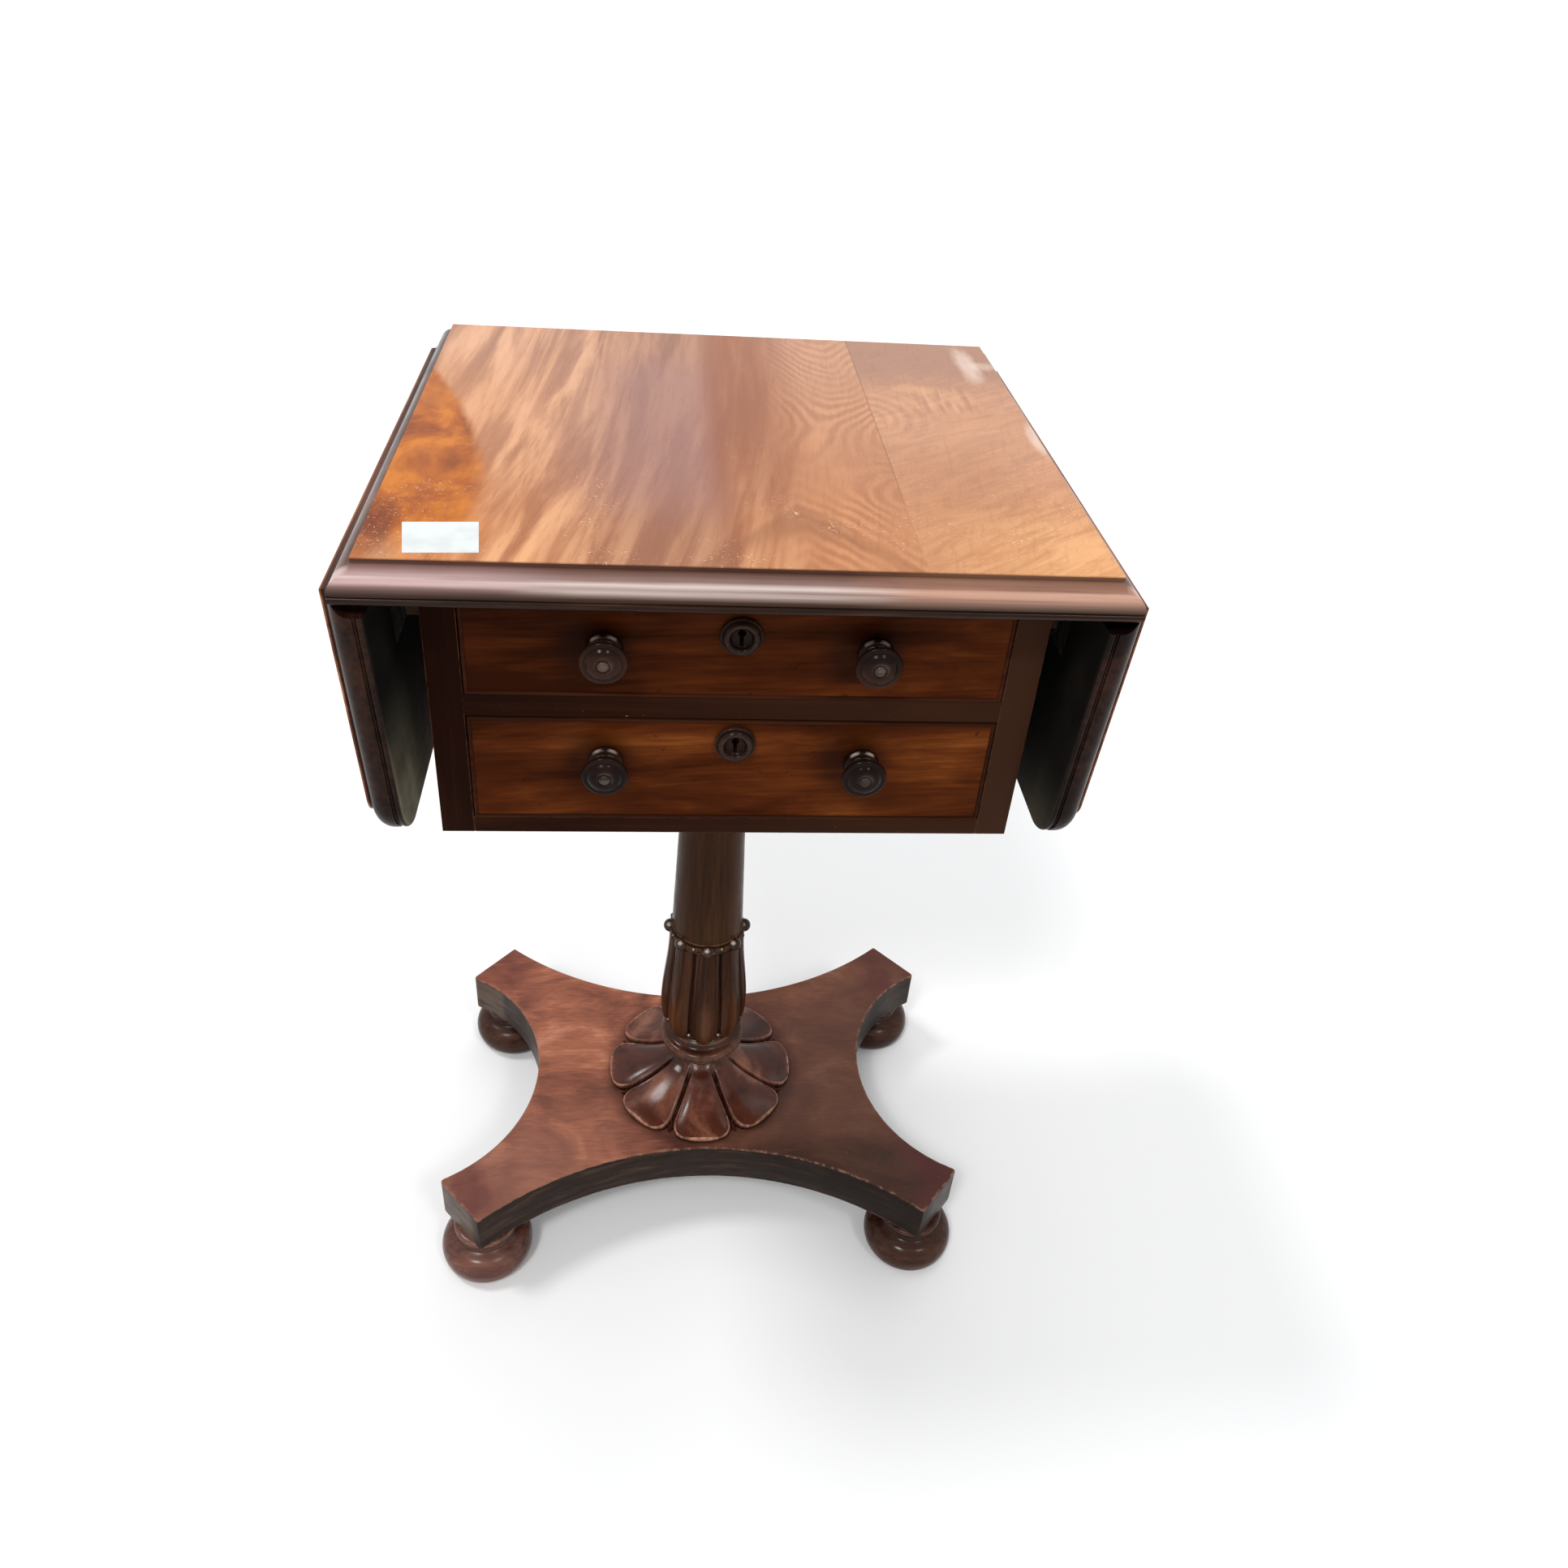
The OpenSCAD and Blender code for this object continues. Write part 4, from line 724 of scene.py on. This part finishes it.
def petal_collar():
    """Eight broad domed petals with thin raised rims, and the points of eight more between them."""
    low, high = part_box("lotus_collar")
    floor, height = low.z / MM, (high.z - low.z) / MM
    tip, dart_tip, neck, shoulder = 86.0, 80.5, 21.5, 64.0
    half = math.pi / lobes

    def half_width(s):
        """Half the width of a petal at distance s along its middle line."""
        straight = s * math.tan(half) - 1.5
        if s <= shoulder:
            return straight
        t = min(1.0, (s - shoulder) / (tip - shoulder))
        widest = shoulder * math.tan(half) - 1.5
        return (widest + 2.6 * math.sin(t * math.pi / 2)) * (1 - t ** 3.4) ** 0.5

    def petal_reach(delta):
        """How far the petal goes in a direction that is delta away from its middle line."""
        r = tip
        while r > 50 and r * math.sin(delta) > half_width(r * math.cos(delta)):
            r -= 0.1
        return r

    def both_reach(delta):
        return max(petal_reach(delta), dart_tip - 190 * (half - delta))

    steps = 120
    table = [both_reach(half * i / steps) for i in range(steps + 1)]

    def reach(delta):
        i = min(steps - 1, int(abs(delta) / half * steps))
        share = abs(delta) / half * steps - i
        return table[i] + (table[i + 1] - table[i]) * share

    def surface(r, delta):
        """Height over the platform, how worn it is, and how much painted shade it gets."""
        s, t = r * math.cos(delta), abs(r * math.sin(delta))
        q = (r - neck) / (tip - neck)
        crest = 5.6 + (height - 5.6) * (1 - q) ** 2.3
        wide = max(0.5, half_width(s))
        inside = min(wide - t, (tip - s) * 0.8)
        spread = smooth(q, 0.02, 0.2)
        dome = 3.8 * max(0.0, 1 - (t / wide) ** 3.4) * math.sin(math.pi * min(1.0, 0.1 + 0.85 * q)) ** 1.1
        rim = 1.0 * bump_at(inside, 1.5, 1.0)
        petal = crest + (dome + rim) * spread
        middle = r * math.sin(half - abs(delta))
        valley = crest - (3.4 - 2.2 * bump_at(middle, 0.0, 0.9)) * spread
        on_petal = smooth(inside, -0.5, 0.45)
        z = valley + (petal - valley) * on_petal
        edge = max(0.0, reach(delta) - r)
        z -= 2.0 * max(0.0, 1 - edge / 2.0) ** 2
        wear_and_highlight = bump_at(inside, 1.3, 0.9) * (0.2 * smooth(q, 0.3, 0.6) + 0.5 * smooth(s, 66, 78))
        # Painted shade in the valleys beside the petals and towards the neck.
        grime_and_shade = bump_at(inside, -0.6, 0.8) * spread + 0.25 * (1 - smooth(q, 0.0, 0.35))
        return max(0.5, min(z, height)), wear_and_highlight, grime_and_shade

    rows = 96

    def point(i, angle):
        delta = (angle + half) % (2 * half) - half
        outer = reach(delta)
        # The skirt under the petal tips gets full painted shade.
        if i == 0:
            r, z, wear_and_highlight, grime_and_shade = outer - 1.8, 0.0, 0.0, 1.0
        else:
            share = 1 - (i - 1) / rows
            r = neck + (outer - neck) * share ** 0.8
            z, wear_and_highlight, grime_and_shade = surface(r, delta)
            if i == 1:
                r, z, wear_and_highlight, grime_and_shade = r - 0.2, min(z, 2.6), 0.0, 1.0
        place = (r * math.cos(angle) * MM, r * math.sin(angle) * MM, (floor + z) * MM)
        return place, wear_and_highlight, grime_and_shade

    return polar("petals", rows + 2, lobes * 72, point)


def lobed_shaft():
    """The lobed part: eight raised tongues with rounded lower ends, and a thin fillet in each groove."""
    low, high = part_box("lobed_baluster")
    foot, tall = low.z / MM, (high.z - low.z) / MM
    half = math.pi / lobes
    rings = 120

    def outer(z):
        if z < 26:
            return 38.6 - 3.2 * ((26 - z) / 26) ** 2.2
        return 32.6 + 6.0 * (1 + math.cos(math.pi * (z - 26) / (tall - 26))) / 2

    def point(i, angle):
        z = tall * (i / rings) ** 1.15
        delta = abs((angle + half) % (2 * half) - half) / half
        lower = 1.0 if z > 20 else math.sqrt(max(0.0, 1 - ((20 - z) / 18.5) ** 2)) if z > 1.5 else 0.0
        upper = 1.0 if z < tall - 5 else math.sqrt(max(0.0, 1 - ((z - tall + 5) / 6.5) ** 2))
        wide = 0.92 * min(lower, 0.6 + 0.4 * upper)
        lobe = (1 - (delta / wide) ** 2.1) ** 0.55 if wide > 0.02 and delta < wide else 0.0
        core = outer(z) - 4.6 - (2.6 * (1 - z / 9) ** 2 if z < 9 else 0.0)
        fillet = 1.5 * bump_at(delta, 1.0, 0.035) * smooth(z, 12, 16)
        r = core + 4.6 * lobe + fillet
        # Painted shade along each groove and round the foot of the lobes.
        grime_and_shade = bump_at(delta, wide + 0.015, 0.04) + 0.4 * (1 - smooth(z, 0, 6))
        wear_and_highlight = 0.5 * bump_at(delta, 0.0, 0.3) * bump_at(z, 30, 26)
        return (r * math.cos(angle) * MM, r * math.sin(angle) * MM, (foot + z) * MM), wear_and_highlight, grime_and_shade

    return polar("lobes", rings + 1, lobes * 48, point)


def ball(radius, centre, rings=14, sides=20):
    """Vertices and faces of a small round bead."""
    vertices = [centre + Vector((0, 0, -radius))]
    for i in range(1, rings):
        a = math.pi * i / rings
        for j in range(sides):
            b = 2 * math.pi * j / sides
            vertices.append(centre + Vector((radius * math.sin(a) * math.cos(b),
                                             radius * math.sin(a) * math.sin(b), -radius * math.cos(a))))
    vertices.append(centre + Vector((0, 0, radius)))
    last = len(vertices) - 1
    faces = [(0, 1 + (j + 1) % sides, 1 + j) for j in range(sides)]
    faces += [tuple(1 + corner for corner in quad) for quad in quads(rings - 2, sides, rings)]
    faces += [(last, last - sides + j, last - sides + (j + 1) % sides) for j in range(sides)]
    return vertices, faces


def join_into(mesh, parts):
    """Adds loose closed pieces to a mesh."""
    bm = bmesh.new()
    bm.from_mesh(mesh)
    for vertices, faces in parts:
        made = [bm.verts.new(v) for v in vertices]
        for face in faces:
            bm.faces.new([made[i] for i in face])
    bmesh.ops.recalc_face_normals(bm, faces=bm.faces)
    bm.to_mesh(mesh)
    bm.free()
    return shade(mesh)


def shaft():
    """The tapered shaft and the band of beads above the lobes."""
    low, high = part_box("column")
    band_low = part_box("lobed_baluster")[1].z / MM
    band_high = band_low + 12.4
    middle = (band_low + band_high) / 2
    profile = [(12, low.z / MM), (12, band_low), (30.0, band_low)]
    profile += arc(30.0, band_low + 1.2, 1.2, -90, 0, 4)
    profile += [(30.6, middle - 2.6)] + arc(30.4, middle, 2.6, -70, 70, 6) + [(30.6, middle + 2.6)]
    profile += arc(30.2, band_high - 1.2, 1.2, 0, 90, 4)
    profile += curve((29.6, band_high + 0.6), (30.3, band_high + 3), (30.1, band_high + 12),
                     (23.0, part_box("column_plate")[0].z / MM), steps=10)
    profile += [(12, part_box("column_plate")[0].z / MM), (12, high.z / MM)]
    return lathe("shaft", profile)


def bead_ring():
    """Eight beads on the band above the lobes, small ones between them, and one at each groove's foot."""
    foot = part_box("lobed_baluster")[0].z / MM
    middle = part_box("lobed_baluster")[1].z / MM + 6.2
    # Each bead gets a pale spot where it faces up, to the front and a little left: a painted highlight.
    highlight_and_wear = Vector((-0.25, -0.62, 0.74)).normalized()
    beads, wear_and_highlight = [], []
    for i in range(lobes):
        a = 2 * math.pi * i / lobes
        b = a + math.pi / lobes
        for angle, reach, height, radius in ((a, 32.0, middle, 5.8), (b, 31.4, middle - 0.6, 2.9),
                                             (b, 34.2, foot + 12.5, 2.7)):
            place = Vector((reach * math.cos(angle), reach * math.sin(angle), height)) * MM
            beads.append(ball(radius * MM, place))
            wear_and_highlight += [smooth((v - place).normalized().dot(highlight_and_wear), 0.9, 1.0) for v in beads[-1][0]]
    mesh = join_into(bpy.data.meshes.new("beads"), beads)
    set_mask(mesh, "wear_and_highlight", wear_and_highlight)
    set_mask(mesh, "grime_and_shade", [0.0] * len(wear_and_highlight))
    return mesh


def collar():
    """The turned ring and neck between the lobes and the petals."""
    low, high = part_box("turned_collar")
    z = low.z / MM
    profile = [(12.3, z), (21.5, z)]
    profile += arc(21.6, z + 2.0, 2.0, -80, 80, 6)
    profile += curve((21.4, z + 4.4), (22.2, z + 8), (25.0, z + 13), (31.5, z + 17.4))
    profile += [(32.5, z + 17.6), (32.8, z + 18.4)]
    profile += arc(33.5, z + 23.4, 5.0, -88, 88, 14)
    profile += [(32.4, z + 28.9), (30.6, z + 29.4)]
    profile += curve((29.4, z + 31), (28.6, z + 32.4), (28.8, z + 33.6), steps=4)
    profile += arc(28.9, z + 36.0, 2.4, -80, 80, 6)
    profile += [(28.6, high.z / MM), (12.3, high.z / MM)]
    return lathe("ring_collar", profile)


def foot_mesh(name):
    low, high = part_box(name)
    centre = (low + high) / 2
    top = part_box("platform")[0].z / MM
    profile = [(4, 0.0), (32.6, 0.0)] + curve((33.4, 0.3), (35.6, 2.2), (36.4, 3.4), steps=4)
    profile += curve((36.9, 3.9), (38.6, 7.6), (39.4, 12.8), (39.0, 17.6), (36.8, 23.2), (32.6, 27.6),
                     (27.6, 30.2), (25.4, 31.6), (24.4, 33.4), (24.0, 35.6), (24.3, 37.6))
    profile += [(24.8, 38.4)] + arc(24.4, 41.6, 2.8, -75, 75, 8) + [(24.2, 44.6), (24.0, top)]
    profile += [(12, top), (12, high.z / MM)]
    place = Matrix.Translation(Vector((centre.x, centre.y, 0)))
    return lathe(name + "_turned", profile, place=place, crest=0.5)


def platform_outline():
    """The platform seen from above, with its corners a little rounded, in metres."""
    arm_x, arm_y, front_x, front_y, waist_x, waist_y = 228.0, 117.0, 190.5, 158.0, 153.0, 90.0
    side_r = (arm_y ** 2 + (arm_x - waist_x) ** 2) / (2 * (arm_x - waist_x))
    front_r = (front_x ** 2 + (front_y - waist_y) ** 2) / (2 * (front_y - waist_y))
    side_a = math.degrees(math.asin(arm_y / side_r))
    front_a = math.degrees(math.asin(front_x / front_r))
    right = arc(waist_x + side_r, 0, side_r, 180 + side_a, 180 - side_a, 40)
    back = arc(0, waist_y + front_r, front_r, 270 + front_a, 270 - front_a, 56)
    left = [(-x, -y) for x, y in right]
    front = [(-x, -y) for x, y in back]
    points = [Vector(point) for point in right + back + left + front]
    out = []
    for before, here, after in zip(points[-1:] + points, points, points[1:] + points[:1]):
        a, b = before - here, after - here
        if a.angle(b) > math.radians(165):
            out.append(here)
            continue
        size = 5.0 if abs(here.x) > 200 else 2.0
        start, end = here + a.normalized() * size, here + b.normalized() * size
        for t in (k / 5 for k in range(6)):
            out.append(start * (1 - t) ** 2 + here * 2 * t * (1 - t) + end * t ** 2)
    cleaned = [p for i, p in enumerate(out) if (p - out[i - 1]).length > 0.4]
    return [(p.x * MM, p.y * MM) for p in cleaned]


def platform_mesh():
    low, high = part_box("platform")
    mesh = prism("platform_board", platform_outline(), low.z, high.z)
    return bevelled(mesh, 0.0016, 3, 50.0)


# Drawers

def knob_profile():
    """A turned knob: a ring near the drawer front, a slim neck and a domed disc with a button on it."""
    profile = [(4.5, -12.5), (4.5, 0), (7.6, 0), (7.8, 1.6)]
    profile += arc(7.6, 5.0, 3.4, -75, 75, 10)
    profile += curve((7.9, 8.6), (6.7, 10.4), (6.6, 12.6), (8.4, 15.2), (11.4, 17.2), steps=4)
    profile += arc(11.9, 19.0, 1.9, -70, 80, 8)
    profile += curve((11.8, 20.9), (10.9, 20.9), (10.2, 21.2), (8.4, 22.9), (6.2, 23.7), (4.6, 23.8),
                     (3.9, 23.5), (3.4, 23.7), (2.4, 24.7), (1.0, 25.0), (0.3, 25.0), steps=3)
    return profile


def boss_profile():
    """A turned keyhole boss: a fat rounded rim round a deep dish."""
    profile = [(2.0, 0.05), (11.6, 0.05)] + arc(10.9, 1.8, 1.7, -60, 60, 6)
    profile += curve((11.3, 3.4), (10.6, 4.6), (9.4, 5.8), (8.2, 5.95), (7.2, 5.2), (6.2, 3.8), (4.8, 2.9),
                     (0.6, 2.6), steps=4)
    return profile


def facing_front(x, y, z):
    """Turns a lathe's axis to point to the front, standing on the point given in metres."""
    return Matrix.Translation(Vector((x, y, z))) @ Matrix.Rotation(math.radians(90), 4, "X")


def knob_pair(drawer):
    """Both knobs of a drawer as one mesh, with painted highlights on the ring near the front and on the dome.
    """
    low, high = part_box(f"{drawer}_drawer_knobs")
    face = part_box(f"{drawer}_drawer_front")[0].y
    z = (low.z + high.z) / 2
    radius, ring_back, ring_front, dome_start = 0.0138, 0.002, 0.0088, 0.0205
    centres = (low.x + radius, high.x - radius)
    parts = []
    for x in centres:
        mesh = lathe("knob", knob_profile(), 64, facing_front(x, face, z))
        parts.append(([v.co.copy() for v in mesh.vertices], [tuple(p.vertices) for p in mesh.polygons]))
    mesh = join_into(mesh_from("knobs", [], []), parts)
    edge_masks(mesh, crest=0.0, hollow=0.5)
    highlight_directions = [Vector((x, -0.6, 0.72)).normalized() for x in (-0.42, 0.36)]
    middles = [Vector((x + 0.0006, 0.0, z + 0.001)) for x in centres]

    def highlight_amount(place, normal):
        """How much painted highlight a point gets: by its direction on the ring, and by its place on the
        dome.
        """
        if face - ring_front < place.y < face - ring_back:
            return smooth(max(normal.dot(spot) for spot in highlight_directions), 0.95, 1.0)
        if place.y < face - dome_start:
            away = min(math.hypot(place.x - middle.x, place.z - middle.z) for middle in middles)
            return 0.18 * (1 - smooth(away, 0.001, 0.0065))
        return 0.0

    set_mask(mesh, "wear_and_highlight", [highlight_amount(v.co, v.normal) for v in mesh.vertices])
    return mesh


def keyhole_cutter(y, z, depth=0.02):
    """The outline of a keyhole, run through along Y."""
    outline = arc(0, 0, 2.4, -62, 242, 20) + [(-1.1, -keyhole_tall), (1.1, -keyhole_tall)]
    mesh = prism("keyhole", [(a * MM, b * MM) for a, b in outline], -depth, depth)
    mesh.transform(facing_front(0, y, z))
    return add_to_scene("keyhole", mesh)


def build_drawer(drawer, m):
    front_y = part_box(f"{drawer}_drawer_front")[0].y
    low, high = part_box(f"{drawer}_keyhole_boss")
    boss_z = (low.z + high.z) / 2
    place = facing_front(0, front_y, boss_z)
    boss = lathe(f"{drawer}_boss", boss_profile(), 64, place, crest=0.06, hollow=0.8)
    boss = new_object(f"{drawer}_turned_boss", boss, m["knob"], f"{drawer}_drawer", "turned_dark_wood",
                      f"{drawer}_keyhole_boss")
    cut(boss, keyhole_cutter(front_y, boss_z + keyhole_tall * MM / 3))
    new_object(f"{drawer}_turned_knobs", knob_pair(drawer), m["knob"], f"{drawer}_drawer", "turned_dark_wood",
               f"{drawer}_drawer_knobs")
    new_object(f"{drawer}_bead_strip", bead_frame(drawer), m["bead"], f"{drawer}_drawer", "polished_mahogany",
               f"{drawer}_drawer_bead")


def bead_frame(drawer):
    """A strip with a half-round front that runs round a drawer front, mitred at the corners."""
    low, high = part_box(f"{drawer}_drawer_bead")
    half = 0.0012
    section = [(0.0, high.y)] + arc(half, low.y + half, half, 180, 360, 6) + [(2 * half, high.y)]
    corners = [(low.x, low.z, 1, 1), (high.x, low.z, -1, 1), (high.x, high.z, -1, -1), (low.x, high.z, 1, -1)]
    vertices = [(x + sx * inward, y, z + sz * inward) for x, z, sx, sz in corners for inward, y in section]
    mesh = mesh_from(f"{drawer}_bead", vertices, quads(4, len(section), 4), 45.0)
    edge_masks(mesh, crest=0.3, hollow=0.0)
    return mesh


# Put it all together

def make_materials():
    pale = (120, 86, 56), (150, 112, 76), (178, 140, 100)
    return {
        "top": top_wood(),
        "leaf": leaf_wood(),
        "platform": platform_wood(),
        "drawer": drawer_wood(),
        # Stiles and rails: dark wood, darkened partly by painted shade on the front.
        "stile": wood("stile_wood", (20, 6, 2), (34, 12, 4), (54, 24, 11), "Z", (0.2, 0.5, 0.3),
                      wear_and_highlight=(84, 50, 36), specular=0.02, east=(64, 40, 27)),
        "rail": wood("rail_wood", (24, 8, 3), (38, 15, 6), (58, 28, 13), "X", (0.2, 0.9, 0.3),
                     wear_and_highlight=(80, 46, 30), specks=0.4, specular=0.02, east=(56, 33, 21)),
        "side": wood("side_wood", (54, 27, 17), (84, 45, 29), (116, 68, 44), "Y", (0.5, 0.2, 0.6), 0.32,
                     wear_and_highlight=(110, 72, 52)),
        "back": wood("back_wood", (52, 28, 18), (80, 46, 30), (110, 70, 46), "X", (0.5, 0.2, 0.6), 0.4,
                     wear_and_highlight=(104, 72, 52)),
        "bead": wood("bead_wood", (32, 13, 5), (50, 23, 10), (74, 38, 20), "X", specular=0.03),
        "stained": wood("stained_wood", (40, 27, 20), (58, 40, 28), (78, 56, 40), "Y", (0.1, 0.3, 0.8), 0.6,
                        bare=True),
        "plain": wood("plain_wood", *pale, "Y", (0.6, 0.3, 0.1), 0.62, bare=True),
        "plain_x": wood("plain_cross_wood", *pale, "X", (0.2, 0.7, 0.1), 0.62, bare=True),
        "carved": turned("carved_wood", (36, 19, 10), (62, 35, 20), (112, 70, 48), (0.3, 0.1, 0.2),
                         rough=0.16, specular=0.06),
        "ring": turned("ring_wood", (42, 20, 12), (68, 36, 24), (130, 92, 72), (0.3, 0.1, 0.2), rough=0.14,
                       specular=0.18, texture=0.4),
        "shaft": turned("shaft_wood", (48, 29, 16), (66, 41, 25), (100, 70, 48), (0.1, 0.6, 0.3), rough=0.2,
                        specular=0.04),
        "petal": turned("petal_wood", (54, 24, 16), (80, 41, 30), (206, 150, 120), (0.5, 0.2, 0.7),
                        rough=0.15, specular=0.22, texture=0.3),
        # One wood in two copies: the lighter one, on the front left foot, is painted light; the darker one is
        # painted shade.
        "foot": turned("foot_wood", (62, 34, 26), (94, 56, 44), (160, 112, 94), (0.2, 0.3, 0.4), "X", 0.14,
                       specular=0.28),
        "shaded_foot": turned("shaded_foot_wood", (34, 19, 12), (56, 32, 22), (112, 76, 60), (0.2, 0.3, 0.4), "X",
                            0.14, specular=0.14),
        # The last colour paints the highlights on the knobs, and the wear on the bosses' rims.
        "knob": turned("knob_wood", (22, 10, 6), (38, 19, 12), (72, 44, 32), (0.3, 0.8, 0.1), "X", 0.12,
                       specular=0.07, texture=0.5, highlight_and_wear=(182, 162, 146)),
        # The last colour paints the highlights on the beads.
        "bead_ring": turned("bead_ring_wood", (24, 12, 7), (40, 22, 13), (90, 58, 40), (0.4, 0.8, 0.1),
                            rough=0.16, specular=0.2, texture=0.3, highlight_and_wear=(206, 190, 178)),
        "iron": metal("dark_iron", (74, 68, 62), 0.45, (58, 40, 30)),
        "steel": metal("dull_steel", (120, 114, 106), 0.4, (84, 66, 52)),
        "brass": metal("old_brass", (176, 140, 78), 0.32, (110, 82, 46)),
        "paper": paper(),
    }


def dress_cad_nodes(m):
    """Gives the CAD nodes their materials: by their name, or else by their slot in the record."""
    own = {"table_top": "top", "left_leaf": "leaf", "right_leaf": "leaf", "back_panel": "back",
           "middle_rail": "rail", "top_rail": "rail", "bottom_board": "plain_x", "dust_board": "plain_x",
           "drawer_stops": "plain_x"}
    of_slot = {"plain_wood": "plain", "stained_wood": "stained", "iron": "iron", "steel": "steel",
               "brass": "brass", "polished_mahogany": "side", "drawer_mahogany": "drawer",
               "turned_dark_wood": "knob"}
    slots = {s["node"]: s["material_slot"] for s in frame["record"]["subparts"]}
    for name, obj in nodes.items():
        cross = name.endswith(("drawer_back", "drawer_bottom"))
        material = "plain_x" if cross else own.get(name, of_slot[slots[name]])
        obj.data.materials.clear()
        obj.data.materials.append(m[material])


def build_box(m):
    """Softened boards for the outside of the drawer box, with darker front edges on its sides: the stile
    colour, darkened partly by painted shade.
    """
    front_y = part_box("left_side")[0].y
    for name, material, slot in (("left_side", "side", "polished_mahogany"),
                                 ("right_side", "side", "polished_mahogany"),
                                 ("bottom_rail", "rail", "polished_mahogany"),
                                 ("back_panel", "back", "stained_wood")):
        mesh = board(name + "_board", *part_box(name))
        new_object(name + "_soft", mesh, m[material], "stand", slot, name)
        if material == "side":
            mesh.materials.append(m["stile"])
            for face in mesh.polygons:
                if face.normal.y < -0.5 and face.center.y < front_y + 0.002:
                    face.material_index = 1


def build_label(m):
    """A small blank paper label near the front left corner of the top."""
    top = cad_high.z
    corners = [(-0.1883, -0.1505), (-0.1472, -0.1479), (-0.1428, -0.1843), (-0.1822, -0.1865)]
    mesh = prism("label", corners, top - 0.0002, top + 0.00006)
    new_object("paper_label", mesh, m["paper"], "stand")


def build_camera():
    """The camera that the photograph's lines give."""
    place = Vector((-50.3, -776.2, 1040.1)) * MM
    yaw, pitch, roll = (math.radians(a) for a in (-6.57, 34.64, 4.56))
    focal, centre_x, centre_y, size = 1518.0, 947.2, 880.4, 1932.0
    turn = Matrix.Rotation(yaw, 3, "Z")
    forward = turn @ Vector((0, math.cos(pitch), -math.sin(pitch)))
    right = turn @ Vector((1, 0, 0))
    up = right.cross(forward)
    right, up = (math.cos(roll) * right + math.sin(roll) * up, -math.sin(roll) * right + math.cos(roll) * up)
    data = bpy.data.cameras.new("camera")
    data.sensor_fit = "HORIZONTAL"
    data.sensor_width = 36.0
    data.lens = focal / size * 36.0
    data.shift_x = (size / 2 - centre_x) / size
    data.shift_y = (centre_y - size / 2) / size
    data.clip_start = 0.01
    camera = add_to_scene("camera", data)
    axes = Matrix((right, up, -forward)).transposed()
    camera.matrix_world = Matrix.Translation(place) @ axes.to_4x4()
    bpy.context.scene.camera = camera


def build_floor():
    bm = bmesh.new()
    bmesh.ops.create_grid(bm, x_segments=8, y_segments=8, size=30)
    mesh = bpy.data.meshes.new("floor")
    bm.to_mesh(mesh)
    bm.free()
    g = Graph("pale_floor")
    g.colour = (0.93, 0.93, 0.93, 1)
    mesh.materials.append(g.finish(0.9, specular=0.0))
    floor = add_to_scene("floor", mesh)


def build_light():
    """A white world that lights softly, and broad lamps from above."""
    world = bpy.data.worlds.new("studio")
    bpy.context.scene.world = world
    world.use_nodes = True
    tree = world.node_tree
    tree.nodes.clear()
    seen, light = (tree.nodes.new("ShaderNodeBackground") for _ in range(2))
    seen.inputs["Color"].default_value = (1, 1, 1, 1)
    light.inputs["Color"].default_value = (0.96, 0.98, 1.0, 1)
    light.inputs["Strength"].default_value = 0.5
    path = tree.nodes.new("ShaderNodeLightPath")
    shown = path.outputs["Is Camera Ray"]
    for ray in ("Is Glossy Ray", "Is Transmission Ray"):
        either = tree.nodes.new("ShaderNodeMath")
        either.operation = "MAXIMUM"
        tree.links.new(shown, either.inputs[0])
        tree.links.new(path.outputs[ray], either.inputs[1])
        shown = either.outputs[0]
    mix = tree.nodes.new("ShaderNodeMixShader")
    tree.links.new(shown, mix.inputs[0])
    tree.links.new(light.outputs[0], mix.inputs[1])
    tree.links.new(seen.outputs[0], mix.inputs[2])
    output = tree.nodes.new("ShaderNodeOutputWorld")
    tree.links.new(mix.outputs[0], output.inputs["Surface"])

    def sun(name, strength, spread, azimuth, elevation):
        data = bpy.data.lights.new(name, "SUN")
        data.energy = strength
        data.angle = math.radians(spread)
        lamp = add_to_scene(name, data)
        a, e = math.radians(azimuth), math.radians(elevation)
        towards = Vector((math.sin(a) * math.cos(e), math.cos(a) * math.cos(e), math.sin(e)))
        lamp.rotation_mode = "QUATERNION"
        lamp.rotation_quaternion = towards.to_track_quat("Z", "Y")

    sun("key", 0.85, 14, -150, 52)
    sun("over", 0.5, 40, 20, 70)
    sun("left_lamp", 0.9, 12, -72, 61)
    sun("right_lamp", 0.4, 10, 147, 49)
    sun("key_spark", 0.2, 3, -150, 52)


def main():
    bpy.context.scene.view_settings.view_transform = "Standard"
    for obj in [o for o in bpy.data.objects if o.type in ("LIGHT", "CAMERA")]:
        bpy.data.objects.remove(obj)
    m = make_materials()
    dress_cad_nodes(m)
    build_box(m)
    for drawer in ("upper", "lower"):
        build_drawer(drawer, m)

    def stand_piece(name, mesh, material, *stands_for):
        new_object(name, mesh, m[material], "stand", "polished_mahogany", *stands_for)

    stand_piece("platform_board", platform_mesh(), "platform", "platform")
    for name in ("front_left_foot", "front_right_foot", "back_left_foot", "back_right_foot"):
        # Painted light on the front left foot, painted shade on the others.
        material = "foot" if name == "front_left_foot" else "shaded_foot"
        stand_piece(name + "_turned", foot_mesh(name), material, name)
    stand_piece("petal_collar", petal_collar(), "petal", "lotus_collar")
    stand_piece("ring_collar", collar(), "ring", "turned_collar")
    stand_piece("lobed_shaft", lobed_shaft(), "carved", "lobed_baluster")
    stand_piece("tapered_shaft", shaft(), "shaft", "column")
    stand_piece("bead_ring", bead_ring(), "bead_ring")
    build_label(m)
    build_camera()
    build_floor()
    build_light()


main()
